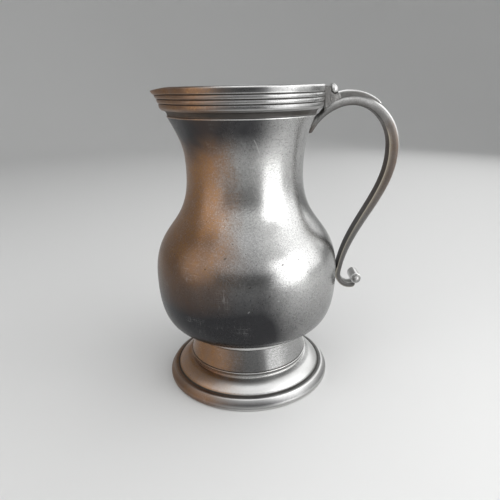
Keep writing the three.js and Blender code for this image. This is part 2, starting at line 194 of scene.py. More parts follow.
class PitcherHandle(bpy.types.PropertyGroup):
    """Sizes of the strap and of what is soldered to it, measured from the body's axis."""

    root: spot("Root", "Where the strap's middle line starts on the neck", (36.345 * MM, 144.5 * MM))
    crest: spot("Crest", "Highest point of the middle line", (58.9 * MM, 161.4 * MM))
    grip: spot("Grip", "Point of the middle line farthest from the body", (82.4 * MM, 135.5 * MM))
    curl_centre: spot("Curl centre", "Centre of the curl at the lower end", (61.51 * MM, 62.5 * MM))
    curl_radius: length("Curl radius", "Radius of the curl's middle line", 7 * MM)
    curl_end: turn("Curl end", "Where round its centre the curl ends, under the roll", 300)
    heel_lean: turn("Heel lean", "Slant of the strap where the curl starts", 8.2)
    root_pull: length("Root pull", "How far the strap follows the neck", 9.5 * MM)
    crest_pull_in: length("Crest pull in", "How level the strap comes to the crest", 12.5 * MM)
    crest_pull_out: length("Crest pull out", "How level the strap leaves the crest", 13 * MM)
    grip_pull: length("Grip pull", "How upright the strap comes to the grip", 14 * MM)
    run_pull: length("Run pull", "How upright the strap leaves the grip", 27 * MM)
    heel_pull: length("Heel pull", "How straight the strap comes to the heel", 30 * MM)
    width: length("Strap width", "Width of the strap", 8.4 * MM)
    root_width: length("Root width", "Width of the strap at its root", 4.6 * MM)
    root_thickness: length("Root thickness", "Thickness of the strap at its root", 1.5 * MM)
    crest_thickness: length("Crest thickness", "Thickness of the strap at the crest", 5.2 * MM)
    grip_thickness: length("Grip thickness", "Thickness of the strap at the grip", 7.2 * MM)
    heel_thickness: length("Heel thickness", "Thickness of the strap at the heel", 3.6 * MM)
    curl_thickness: length("Curl thickness", "Thickness of the strap at the curl's end", 3.2 * MM)
    tongue_height: length("Tongue height", "Height of the raised tongue", 3.4 * MM)
    tongue_width: length("Tongue width", "Width of the raised tongue", 4.6 * MM)
    tongue_run: length("Tongue run", "Length of the tongue beyond the crest", 14.5 * MM)
    lug_width: length("Lug width", "Width of the lug under the bead", 6.4 * MM)
    bead_length: length("Bead length", "Longer measure of the bead", 5.9 * MM)
    bead_width: length("Bead width", "Shorter measure of the bead", 4.3 * MM)
    bead_breadth: length("Bead breadth", "Measure of the bead across the handle", 7 * MM)
    bead_lean: turn("Bead lean", "Lean of the bead towards the mouth", 24)
    roll_radius: length("Roll radius", "Radius of the roll in the scroll", 3.1 * MM)
    button_radius: length("Button radius", "Radius of the domes on the roll's ends", 2.35 * MM)
    button_collar: length("Button collar", "Radius of the collars under the domes", 2.9 * MM)


class PitcherFinish(bpy.types.PropertyGroup):
    """Colours and surface of the metal."""

    pewter: colour("Pewter", "Clean satin metal", (0.40, 0.40, 0.395))
    dull: colour("Dull pewter", "Metal with an old grey skin", (0.24, 0.24, 0.24))
    # Dark skin of old pewter, and the colour of the painted dark reflection laid on by height
    aged_and_dark_reflection: colour("Aged pewter", "Dark skin where the metal is never rubbed", (0.043, 0.043, 0.046))
    # Brown oxide, and the colour of the painted warm reflection on the lip's side
    tan: colour("Brown skin", "Warm brown oxide", (0.30, 0.14, 0.055))
    copper: colour("Copper specks", "Warm specks in the brown oxide", (0.55, 0.31, 0.135))
    # Dark deposit, and the colour of painted shade in grooves, hollows, under steps and on the handle
    grime_and_shade: colour("Grime", "Dark deposit in grooves and corners", (0.030, 0.026, 0.022))
    # Rubbed metal, and the colour of painted highlights and glints on edges and on the belly's front
    bright: colour("Worn edge", "Metal rubbed bright on edges", (0.76, 0.76, 0.75))
    # The handle's rubbed edges with a painted warm glint
    golden: colour("Golden edge", "Handle's edges, rubbed bright under a brown skin", (0.70, 0.64, 0.52))
    roughness: share("Roughness", "Satin of the clean metal", 0.26)
    grain: share("Grain", "Depth of the sandy grain", 0.5)


class PitcherStage(bpy.types.PropertyGroup):
    """Floor, lamps and camera."""

    floor: colour("Floor", "Pale floor and backdrop", (0.72, 0.72, 0.715))
    key_power: power("Key lamp", "Soft lamp on the right of the camera", 0.54)
    side_power: power("Side lamp", "Broad soft lamp at the handle's side", 2.8)
    rim_power: power("Rim lamp", "Soft lamp behind the handle", 2.6)
    fill_power: power("Fill lamp", "Soft lamp on the lip's side", 0.45)
    front_power: power("Front lamp", "Broad soft lamp above and behind the camera", 5.4)
    top_power: power("Top lamp", "Broad soft lamp overhead", 5.2)
    room: bpy.props.FloatProperty(
        name="Room light", description="Even light from all round", default=0.24
    )
    camera_away: length("Camera distance", "How far in front of the axis the camera stands", 272.759 * MM)
    camera_height: length("Camera height", "How high the camera stands", 170.5 * MM)
    camera_focus: bpy.props.FloatProperty(
        name="Focal length", description="Focal length in pixels of the photograph", default=486.462
    )
    camera_pitch: turn("Pitch", "How far the camera looks down", 18.816)
    camera_yaw: turn("Yaw", "How far the camera looks to the right", 0.455)
    camera_roll: turn("Roll", "How far the camera leans", -1.033)


class PitcherSettings(bpy.types.PropertyGroup):
    """All that a user would change on the pitcher."""

    body: bpy.props.PointerProperty(type=PitcherBody)
    mouth: bpy.props.PointerProperty(type=PitcherMouth)
    foot: bpy.props.PointerProperty(type=PitcherFoot)
    handle: bpy.props.PointerProperty(type=PitcherHandle)
    finish: bpy.props.PointerProperty(type=PitcherFinish)
    stage: bpy.props.PointerProperty(type=PitcherStage)


# Lines and outlines


def smoothstep(value, low, high):
    """0 below low, 1 above high, and three squares less two cubes of the share between them."""
    part = np.clip((value - low) / (high - low), 0, 1)
    return part * part * (3 - 2 * part)


def bezier(controls, count):
    """Points of a cubic curve: its four controls weighted by the cubic Bernstein terms."""
    t = np.linspace(0, 1, count)[:, None]
    a, b, c, d = (np.asarray(control, float) for control in controls)
    return a * (1 - t) ** 3 + 3 * b * t * (1 - t) ** 2 + 3 * c * t**2 * (1 - t) + d * t**3


def parabola(start, bend, finish, count):
    """Points of a parabola between two ends whose end directions meet at a bend."""
    t = np.linspace(0, 1, count)[:, None]
    a, b, c = (np.asarray(place, float) for place in (start, bend, finish))
    return a * (1 - t) ** 2 + 2 * b * t * (1 - t) + c * t**2


def ellipse(centre, radii, start, end, count):
    """Points of an ellipse between two angles."""
    angle = np.linspace(start, end, count)
    return np.stack([centre[0] + radii[0] * np.cos(angle), centre[1] + radii[1] * np.sin(angle)], axis=1)


def unit(vectors):
    """Vectors made one long."""
    return vectors / np.linalg.norm(vectors, axis=-1, keepdims=True)


def left_of(line):
    """Unit normals to the left of an open line, from the differences of neighbouring points."""
    tangent = unit(np.gradient(line, axis=0))
    return np.stack([-tangent[:, 1], tangent[:, 0]], axis=1)


def along_line(line):
    """Distances of a line's points from its start, measured along it."""
    return np.concatenate([[0], np.cumsum(np.linalg.norm(np.diff(line, axis=0), axis=1))])


def sense(outline):
    """1 for a closed outline that runs anticlockwise and -1 for a clockwise one, by its signed area."""
    following = np.roll(outline, -1, axis=0)
    return np.sign(np.sum(outline[:, 0] * following[:, 1] - following[:, 0] * outline[:, 1]))


def rounded(corners, cuts, steps=7):
    """A closed outline whose corners are cut back by a distance and joined by a parabola through the cuts.

    A cut of nothing keeps the corner as one point, and no cut passes the middle of a side.
    """
    corners = np.asarray(corners, float)
    cuts = np.broadcast_to(np.asarray(cuts, float), len(corners))
    to_last = np.roll(corners, 1, axis=0) - corners
    to_next = np.roll(corners, -1, axis=0) - corners
    last_length = np.linalg.norm(to_last, axis=1)
    next_length = np.linalg.norm(to_next, axis=1)
    most = 0.49
    start = corners + to_last * np.minimum(cuts / last_length, most)[:, None]
    finish = corners + to_next * np.minimum(cuts / next_length, most)[:, None]
    t = np.linspace(0, 1, steps)[None, :, None]
    line = start[:, None] * (1 - t) ** 2 + 2 * corners[:, None] * t * (1 - t) + finish[:, None] * t**2
    line = line.reshape(-1, 2)
    apart = np.linalg.norm(line - np.roll(line, 1, axis=0), axis=1)
    return line[apart > TINY]


def relief(outline, reach):
    """How far each point of a closed outline stands out of the outline's own average, in units of relief.

    The outline is spaced evenly, blurred round by a bell curve of the given reach, and compared with itself
    along its outward normal: edges come out positive and grooves negative.
    """
    loop = np.vstack([outline, outline[:1]])
    along = along_line(loop)
    spacing = 0.06 * MM
    count = int(along[-1] / spacing)
    even = np.linspace(0, along[-1], count, endpoint=False)
    line = np.stack([np.interp(even, along, loop[:, 0]), np.interp(even, along, loop[:, 1])], axis=1)
    waves = np.fft.fftfreq(count, along[-1] / count)
    bell = np.exp(-2 * (np.pi * waves * reach) ** 2)[:, None]
    average = np.fft.ifft(np.fft.fft(line, axis=0) * bell, axis=0).real
    tangent = unit(np.roll(average, -1, axis=0) - np.roll(average, 1, axis=0))
    outward = sense(outline) * np.stack([tangent[:, 1], -tangent[:, 0]], axis=1)
    height = np.sum((line - average) * outward, axis=1)
    closed = np.append(height, height[0])
    return np.interp(along[:-1], np.append(even, along[-1]), closed) / RELIEF_UNIT


# Surfaces and meshes


def grid_faces(rows, columns, wrap_rows):
    """Four-sided faces of a grid numbered row by row, closed round its columns and, if asked, its rows."""
    i = np.arange(rows if wrap_rows else rows - 1)[:, None]
    j = np.arange(columns)[None, :]
    shaded_underside = (i + 1) % rows
    beside = (j + 1) % columns
    corners = [i * columns + j, i * columns + beside, shaded_underside * columns + beside, shaded_underside * columns + j]
    return np.stack(corners, axis=-1).reshape(-1, 4)


def fan_faces(ring, centre):
    """Three-sided faces from a ring of point numbers to one centre."""
    return np.stack([ring, np.roll(ring, -1), np.full(len(ring), centre)], axis=1)


def turned(outline, segments):
    """A closed outline of radius and height carried once round the upright axis."""
    angle = np.linspace(0, 2 * np.pi, segments, endpoint=False)[:, None]
    radius, height = outline.T
    points = np.stack([radius * np.cos(angle), radius * np.sin(angle), height + 0 * angle], axis=-1)
    return points.reshape(-1, 3), [grid_faces(segments, len(outline), True)]


def turned_solid(line, segments):
    """A line of radius and height, both ends on the axis, carried once round it and closed at two poles."""
    points, _ = turned(line[1:-1], segments)
    count = len(line) - 2
    i = np.arange(segments)[:, None]
    j = np.arange(count - 1)[None, :]
    beside = (i + 1) % segments
    sides = np.stack([i * count + j, i * count + j + 1, beside * count + j + 1, beside * count + j], axis=-1)
    ring = np.arange(segments) * count
    first = len(points)
    poles = np.array([[0, 0, line[0, 1]], [0, 0, line[-1, 1]]])
    faces = [sides.reshape(-1, 4), fan_faces(ring[::-1], first), fan_faces(ring + count - 1, first + 1)]
    return np.vstack([points, poles]), faces


def lofted(rings):
    """Rings of points joined in order, each end closed by a fan to the middle of its last ring."""
    count, around = rings.shape[:2]
    ends = np.stack([rings[0].mean(axis=0), rings[-1].mean(axis=0)])
    points = np.vstack([rings.reshape(-1, 3), ends])
    first = np.arange(around)
    faces = [
        grid_faces(count, around, False),
        fan_faces(first[::-1], count * around),
        fan_faces(first + (count - 1) * around, count * around + 1),
    ]
    return points, faces


def volume(points, faces):
    """The volume inside closed faces, as the sum of the tetrahedra from the origin to each face's fan."""
    total = 0.0
    for group in faces:
        for k in range(1, group.shape[1] - 1):
            a, b, c = points[group[:, 0]], points[group[:, k]], points[group[:, k + 1]]
            total += np.sum(np.cross(a, b) * c) / 6
    return total


def add_piece(name, points, faces, slot, stands_out=None, soiled_and_shaded=None):
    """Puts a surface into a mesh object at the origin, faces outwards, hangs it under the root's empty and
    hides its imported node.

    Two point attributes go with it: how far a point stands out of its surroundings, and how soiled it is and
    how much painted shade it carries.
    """
    if volume(points, faces) < 0:
        faces = [group[:, ::-1] for group in faces]
    mesh = bpy.data.meshes.new(name)
    mesh.from_pydata((points + AXIS).tolist(), [], [face for group in faces for face in group.tolist()])
    mesh.polygons.foreach_set("use_smooth", np.ones(len(mesh.polygons), dtype=bool))
    for key, values in (("relief", stands_out), ("soil", soiled_and_shaded)):
        values = np.zeros(len(points)) if values is None else values
        mesh.attributes.new(key, "FLOAT", "POINT").data.foreach_set("value", values.astype(np.float32))
    mesh.materials.append(finish_for(slot))
    mesh.set_sharp_from_angle(angle=SHARP_ANGLE)
    piece = bpy.data.objects.new(name + "_dressed", mesh)
    bpy.context.scene.collection.objects.link(piece)
    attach(piece, "root")
    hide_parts(name)


def add_turned(name, outline, slot, stands_out, soiled_and_shaded, bend=None):
    """Adds a closed outline turned round the axis, bent if asked, with its attributes all round it."""
    points, faces = turned(outline, SEGMENTS[name])
    if bend is not None:
        points = bend(points)
    attributes = [np.tile(values, SEGMENTS[name]) for values in (stands_out, soiled_and_shaded)]
    add_piece(name, points, faces, slot, *attributes)


# Materials


class Tone:
    """A shader socket; arithmetic on it adds Math nodes."""

    def __init__(self, bench, socket):
        self.bench = bench
        self.socket = socket

    def _math(self, operation, first, second):
        return self.bench.node("ShaderNodeMath", {"operation": operation}, {0: first, 1: second})

    def __add__(self, other):
        return self._math("ADD", self, other)

    __radd__ = __add__

    def __sub__(self, other):
        return self._math("SUBTRACT", self, other)

    def __rsub__(self, other):
        return self._math("SUBTRACT", other, self)

    def __mul__(self, other):
        return self._math("MULTIPLY", self, other)

    __rmul__ = __mul__

    def __truediv__(self, other):
        return self._math("DIVIDE", self, other)

    def __rtruediv__(self, other):
        return self._math("DIVIDE", other, self)

    def __pow__(self, other):
        return self._math("POWER", self, other)

    def __abs__(self):
        return self._math("ABSOLUTE", self, 0.0)


class Bench:
    """A node tree on which a finish is mixed."""

    def __init__(self, tree):
        self.tree = tree
        tree.nodes.clear()

    def node(self, kind, settings=None, sockets=None, output=0):
        """Adds any node: its settings first, then the values or links of its sockets."""
        made = self.tree.nodes.new(kind)
        for key, value in (settings or {}).items():
            setattr(made, key, value)
        for key, value in (sockets or {}).items():
            if isinstance(value, Tone):
                self.tree.links.new(value.socket, made.inputs[key])
            else:
                made.inputs[key].default_value = value
        return Tone(self, made.outputs[output]) if made.outputs else None

    def blend(self, amount, first, second):
        """Two colours mixed by an amount."""
        settings = {"data_type": "RGBA", "clamp_factor": True}
        return self.node("ShaderNodeMix", settings, {0: amount, 6: first, 7: second}, 2)

    def ease(self, value, low, high):
        """0 up to low, 1 from high on and smooth between; it falls where low is the greater."""
        settings = {"interpolation_type": "SMOOTHSTEP"}
        return self.node("ShaderNodeMapRange", settings, {"Value": value, "From Min": low, "From Max": high})

    def split(self, place):
        """The three numbers of a vector."""
        first = self.node("ShaderNodeSeparateXYZ", None, {"Vector": place})
        return [Tone(self, socket) for socket in first.socket.node.outputs]

    def most(self, first, second):
        """The greater of two numbers."""
        return self.node("ShaderNodeMath", {"operation": "MAXIMUM"}, {0: first, 1: second})

    def stroke(self, across, height, start, end, width):
        """1 on a straight stroke between two points, fading out at its width.

        The nearest point of the stroke is its start plus the run times the projection clamped to 0 and 1.
        """
        run = (end[0] - start[0], end[1] - start[1])
        reach = run[0] ** 2 + run[1] ** 2
        along = (across - start[0]) * (run[0] / reach) + (height - start[1]) * (run[1] / reach)
        along = self.node("ShaderNodeClamp", None, {"Value": along})
        aside = across - start[0] - along * run[0]
        above = height - start[1] - along * run[1]
        return self.ease((aside * aside + above * above) ** 0.5, width, 0.35 * width)

    def noise(self, place, scale, detail=2.0, roughness=0.5, warp=0.0):
        """Cloudy noise about one half; scale is in features a metre."""
        sockets = {"Vector": place, "Scale": scale, "Detail": detail, "Roughness": roughness}
        return self.node("ShaderNodeTexNoise", None, {**sockets, "Distortion": warp})

    def stretch(self, place, factors, turned_by=(0, 0, 0)):
        """Coordinates turned and stretched, so that a pattern runs along one way."""
        sockets = {"Vector": place, "Rotation": turned_by, "Scale": factors}
        return self.node("ShaderNodeMapping", None, sockets)

    def surface(self, sockets):
        """Ends a material's tree in one principled surface."""
        shader = self.node("ShaderNodeBsdfPrincipled", None, sockets)
        self.node("ShaderNodeOutputMaterial", None, {"Surface": shader})


def opaque(shade):
    """A colour with its alpha."""
    return (*shade, 1.0)


class Look(NamedTuple):
    """How one finish departs from plain pewter."""

    warmth: float  # share of the brown oxide and of a painted warm reflection
    veil: float  # how far the aged skin and painted dark reflection lie over the brown and warm reflection
    grain: float  # share of the sandy grain
    lathe: float  # share of the rings from the lathe
    polish: float  # share of the dull skin that is rubbed away
    satin: float  # roughness against the clean metal's
    aging_and_dark_reflection: tuple  # aged skin and painted dark reflection: heights in mm where it starts and is full, amount, and share that hands rub off
    matt_below: float = 0.0  # height in mm under which the metal is matt
    strap: bool = False  # brown goes by height, and edges are rubbed golden with a painted warm glint
    marked: bool = False  # carries the single marks and a painted highlight on the front of the body


# Each look's aging bands paint dark reflection as well as aged skin: on the body the lower belly and the
# upper neck, all of the rim, the foot's band and collar, and the strap under the crest
LOOKS = {
    "pewter_body": Look(
        warmth=1.0, veil=0.9, grain=1.0, lathe=0.4, polish=0.3, satin=1.0, marked=True,
        aging_and_dark_reflection=((100, 62, 0.9, 0.9), (66, 46, 0.35, 0.3), (130, 150, 0.95, 0.8)),
    ),
    "pewter_rim": Look(
        warmth=1.0, veil=0.35, grain=0.5, lathe=1.0, polish=0.4, satin=1.1,
        aging_and_dark_reflection=((0, 1, 0.72, 0.8),),
    ),
    "pewter_foot": Look(
        warmth=1.0, veil=0.5, grain=0.85, lathe=0.9, polish=0.6, satin=0.75, matt_below=13,
        aging_and_dark_reflection=((7.2, 6.2, 0.85, 0.6), (13, 17, 0.5, 0.9)),
    ),
    "pewter_handle": Look(
        warmth=0.8, veil=0.85, grain=0.8, lathe=0.0, polish=0.4, satin=1.3, strap=True,
        aging_and_dark_reflection=((154, 140, 0.4, 0.0),),
    ),
}

# Marks on the front of the body: start and end in mm from the axis and the table, and width
SCRATCH_MARKS = (
    ((4.06, 127.35), (5.16, 124.03), 0.34),
    ((4.76, 145.2), (6.2, 142.1), 0.3),
    ((6.2, 142.1), (7.2, 138.6), 0.3),
    ((15.5, 67.1), (15.8, 67.1), 0.55),
    ((0.3, 62.0), (0.9, 62.6), 0.45),
)
PIT_MARKS = (
    ((-10.8, 88.6), (-10.5, 88.8), 0.6),
    ((17.8, 84.9), (18.1, 85.0), 0.6),
    ((1.0, 75.3), (1.5, 75.6), 0.55),
    ((25.9, 85.8), (26.8, 86.0), 0.35),
    ((11.0, 70.1), (11.2, 70.3), 0.5),
    ((-21.0, 83.0), (-20.8, 83.2), 0.5),
)


class PewterMix:
    """Satin pewter mixed on a bench from the settings' colours and one look.

    Noises of the object's coordinates make patterns. Masks come from these, from the place on the pitcher and
    from the two point attributes, and blend the colour, the roughness and the bump. Some masks paint light
    and shade into the colour.
    """

    def __init__(self, tree, finish, look):
        bench = Bench(tree)
        self.bench, self.finish, self.look = bench, finish, look
        self.place = bench.node("ShaderNodeTexCoord", output="Object")
        east, self.north, self.height = bench.split(self.place)
        self.east = east - AXIS_X
        self.raised = bench.node("ShaderNodeAttribute", {"attribute_name": "relief"}, None, "Fac")
        self.soil = bench.node("ShaderNodeAttribute", {"attribute_name": "soil"}, None, "Fac")
        self.drift = bench.noise(self.place, 21, 3.0, 0.5, 0.3)
        self.clouds = bench.noise(self.place, 62, 4.0, 0.55, 0.4)
        self.sand = bench.noise(self.place, 1250, 3.0, 0.65)
        if look.marked:
            self.front = bench.ease(self.north, 0.0, -5 * MM)
        self.scar()
        self.weather()

    def scar(self):
        """Scratches, lines where a stretched noise passes its middle, and pits, the tops of fine specks."""
        bench = self.bench
        steep = bench.noise(bench.stretch(self.place, (700, 700, 30), (0.35, 0.2, 0.5)), 1.0, 1.0, 0.5)
        level = bench.noise(bench.stretch(self.place, (60, 60, 900), (0.5, -0.3, 0.1)), 1.0, 1.0, 0.5)
        thin = [1 - bench.ease(abs(lines - 0.5), 0.004, 0.02) for lines in (steep, level)]
        self.scratches = bench.most(*thin) * bench.ease(self.clouds, 0.52, 0.68)
        self.pits = bench.ease(bench.noise(self.place, 850, 2.0, 0.5), 0.69, 0.75)
        if self.look.marked:
            self.scratches = self.with_marks(self.scratches, SCRATCH_MARKS, 1.6)
            self.pits = self.with_marks(self.pits, PIT_MARKS, 1.0)

    def with_marks(self, scars, marks, depth):
        """Scars and, on the front of the body, the single marks of their kind."""
        for start, end, width in marks:
            ends = np.array([start, end]) * MM
            mark = self.bench.stroke(self.east, self.height, ends[0], ends[1], width * MM)
            scars = self.bench.most(scars, depth * self.front * mark)
        return scars

    def weather(self):
        """Masks of what time and hands did to the metal, and masks of painted light and shade.

        Brown, oxide with a painted warm reflection, goes by the sine of the angle round the body, full at the
        lip and faint on the far half. On the strap it goes by height. The aged skin with the painted dark
        reflection lies between heights, less at the handle's side, where hands rub it and the painted light
        is brighter. Hardly any of either is left inside, where the soil is negative. Edges stand above the
        surface's own average and get wear and painted glints; grime and painted shade lie below it or where
        the soil says so.
        """
        bench, look, height = self.bench, self.look, self.height
        sway = self.drift - 0.5
        outside = bench.ease(self.soil, -1.0, 0.0)
        if look.strap:
            below_crest = bench.ease(height, 156 * MM, 138 * MM)
            above_heel = bench.ease(height, 80 * MM, 128 * MM)
            self.side = below_crest * above_heel * 0.35
            handled_and_lit = 0.0
            brown_and_reflection_reach = outside
        else:
            reach = (self.east * self.east + self.north * self.north + TINY) ** 0.5
            self.side = (0 - self.east) / reach
            # Painted light: the aged skin thins towards the lit handle's side, where hands also rub it
            handled_and_lit = bench.ease(0 - self.side + 0.3 * sway, 0.1, 0.6)
            brown_and_reflection_reach = outside * (1 - 0.8 * bench.ease(self.north / reach, 0.1, 0.8))
        # Brown oxide with a painted warm reflection: full on the lip's side, faint on the far half
        brown_and_warm_reflection = bench.ease(self.side + 0.4 * sway + 0.3 * (self.clouds - 0.5), -0.05, 0.62)
        self.brown_and_warm_reflection = brown_and_warm_reflection * look.warmth * brown_and_reflection_reach
        # Aged skin with a painted dark reflection, laid on by height
        age_and_dark_reflection = 0.3 * bench.ease(self.drift, 0.45, 0.75)
        for start, full, amount, brightened in look.aging_and_dark_reflection:
            wander = 0.5 * abs(full - start) * MM
            reached = bench.ease(height + sway * wander, start * MM, full * MM)
            age_and_dark_reflection = age_and_dark_reflection + amount * (1 - brightened * handled_and_lit) * reached
        self.age_and_dark_reflection = age_and_dark_reflection * outside
        # Raised edges get rubbed metal and painted glints
        self.edge = bench.ease(self.raised, 0.35, 1.5)
        # Grime and painted shade: in grooves below the surface's average and where the soil attribute asks
        deposit_and_shade = self.soil * (0.7 + 0.6 * self.clouds) * (1 - 0.8 * self.edge)
        self.dirt_and_shade = bench.most(bench.ease(0 - self.raised, 0.25, 1.5), deposit_and_shade)

    def coat(self, skin, key, amount):
        """A skin covered by one of the settings' colours."""
        return self.bench.blend(amount, skin, opaque(getattr(self.finish, key)))

    def skin(self):
        """The colour: clean metal, then coat over coat, each by its own mask; some coats are painted light
        and shade.
        """
        bench, look = self.bench, self.look
        brown_and_warm_reflection, age_and_dark_reflection, edge, sand = self.brown_and_warm_reflection, self.age_and_dark_reflection, self.edge, self.sand
        patches = bench.ease(bench.noise(self.place, 95, 4.0, 0.6, 0.8), 0.38, 0.62)
        skin = opaque(self.finish.pewter)
        skin = self.coat(skin, "dull", 0.7 * bench.ease(self.clouds, 0.3, 0.75) * (1 - look.polish))
        # Painted highlight on the front-right of the belly, laid on as rubbed metal
        if look.marked:
            worn_and_sheen = bench.ease(0 - self.side, 0.05, 0.35) * bench.ease(0 - self.side, 0.98, 0.75) * self.front
            skin = self.coat(skin, "bright", 0.36 * worn_and_sheen * bench.ease(self.height, 55 * MM, 78 * MM))
        # Brown oxide with a painted warm reflection
        skin = self.coat(skin, "tan", brown_and_warm_reflection * (0.85 + 0.15 * patches))
        skin = self.coat(skin, "copper", brown_and_warm_reflection * bench.ease(sand, 0.48, 0.62) * (0.3 + 0.6 * patches))
        # Aged skin with a painted dark reflection
        skin = self.coat(skin, "aged_and_dark_reflection", age_and_dark_reflection * (1 - (1 - look.veil) * brown_and_warm_reflection))
        skin = self.coat(skin, "aged_and_dark_reflection", bench.ease(sand, 0.4, 0.8) * (0.38 * look.grain))
        skin = self.coat(skin, "bright", bench.ease(sand, 0.6, 0.2) * (0.2 * look.grain) * (1 - age_and_dark_reflection))
        skin = self.coat(skin, "grime_and_shade", self.pits * (0.6 * look.grain))
        skin = self.coat(skin, "bright", self.scratches * 0.13)
        # Strap edges: rubbed metal with a painted warm glint
        if look.strap:
            rub_and_glint = self.coat(opaque(self.finish.bright), "golden", bench.ease(self.soil, 0.1, 0.4))
            skin = bench.blend(edge * 0.8, skin, rub_and_glint)
        else:
            # Edges: rubbed metal with painted glints
            skin = self.coat(skin, "bright", edge * 0.75 * (1 - 0.85 * brown_and_warm_reflection))
        # Grime with painted shade in grooves, hollows, under steps and on the handle's flanks
        return self.coat(skin, "grime_and_shade", self.dirt_and_shade * 0.9)

    def roughness(self):
        """The satin: coarser in clouds, sand, brown, grime and painted shade, pits and below the matt line,
        finer on edges.
        """
        look = self.look
        rough = look.satin * self.finish.roughness + 0.1 * (self.clouds - 0.5) + 0.05 * self.brown_and_warm_reflection
        rough = rough + 0.18 * look.grain * (self.sand - 0.5)
        rough = rough + 0.25 * self.dirt_and_shade - 0.04 * self.edge + 0.06 * self.pits
        if look.matt_below:
            matt = self.bench.ease(self.height, (look.matt_below + 1) * MM, (look.matt_below - 1) * MM)
            rough = rough + 0.17 * matt
        return rough

    def normal(self):
        """Shallow dents under sandy grain, rings from the lathe, pits and scratches."""
        bench, look = self.bench, self.look
        dents = bench.noise(self.place, 26, 2.0, 0.4)
        normal = bench.node("ShaderNodeBump", None, {"Strength": 0.22, "Distance": 0.9 * MM, "Height": dents})
        fine = bench.noise(self.place, 2300, 2.0, 0.6)
        rings = bench.noise(bench.stretch(self.place, (2, 2, 900)), 1.0, 2.0, 0.6)
        surface = 0.6 * look.grain * self.sand + 0.3 * look.grain * fine + 0.3 * look.lathe * rings
        surface = surface - 0.9 * look.grain * self.pits - 0.25 * self.scratches
        sockets = {"Strength": self.finish.grain, "Distance": 0.1 * MM, "Height": surface, "Normal": normal}
        return bench.node("ShaderNodeBump", None, sockets)

    def pour(self):
        """Ends the mix in its surface."""
        self.bench.surface({
            "Base Color": self.skin(),
            "Roughness": self.roughness(),
            "Normal": self.normal(),
            "Metallic": 1 - 0.7 * self.dirt_and_shade,
        })


def finish_for(slot):
    """The finish of one material slot, made once."""
    name = slot + "_finish"
    material = bpy.data.materials.get(name)
    if material is None:
        material = bpy.data.materials.new(name)
        material.use_nodes = True
        PewterMix(material.node_tree, bpy.context.scene.pitcher.finish, LOOKS[slot]).pour()
    return material


# Pieces of the body


def drawn_lip(points, mouth):
    """Draws the pouring lip out of turned points.

    Within the lip's half angle of -X, by the square of a cosine, points move away from the axis by a gutter
    that deepens up the neck and by a reach that climbs to the rim with a power; the rim also sinks.
    """
    climb_power = 1.6
    x, y, z = points.T
    angle = np.arctan2(y, x)
    away = np.pi - np.abs(angle)
    across = np.where(away < mouth.lip_half_angle, np.cos(np.pi / 2 * away / mouth.lip_half_angle) ** 2, 0)
    gutter = smoothstep(z, mouth.rim_height - mouth.gutter_length, mouth.base_height)
    low = mouth.base_height + mouth.hollow
    climb = np.clip((z - low) / (mouth.rim_height - low), 0, None) ** climb_power
    pull = across * (mouth.gutter_share * gutter + (1 - mouth.gutter_share) * climb)
    sink = smoothstep(z, mouth.rim_height - mouth.top_band - mouth.reed, mouth.rim_height)
    radius = np.hypot(x, y) + mouth.lip_reach * pull
    height = z - mouth.lip_drop * pull * sink
    return np.stack([radius * np.cos(angle), radius * np.sin(angle), height], axis=1)


def body_curves(body, mouth):
    """Controls of the body's outer line: belly, shoulder and flaring neck, each a cubic curve."""
    bottom = np.array([body.bowl_radius, body.bowl_height])
    widest = np.array([body.belly_radius, body.belly_height])
    narrow = np.array([body.neck_radius, body.neck_height])
    top = np.array([body.neck_top_radius, mouth.base_height])
    up, in_, out = widest - bottom, narrow - widest, top - narrow
    off_collar = bottom + up * (body.belly_spread, body.belly_lift)
    belly = (bottom, off_collar, widest - up * (0, body.belly_fullness), widest)
    off_belly = widest + in_ * (0, body.shoulder_fullness)
    shoulder = (widest, off_belly, narrow - in_ * (0, body.neck_slenderness), narrow)
    off_neck = narrow + out * (0, body.flare_rise)
    flare = (narrow, off_neck, top - out * (body.flare_spread, body.flare_lift), top)
    return belly, shoulder, flare


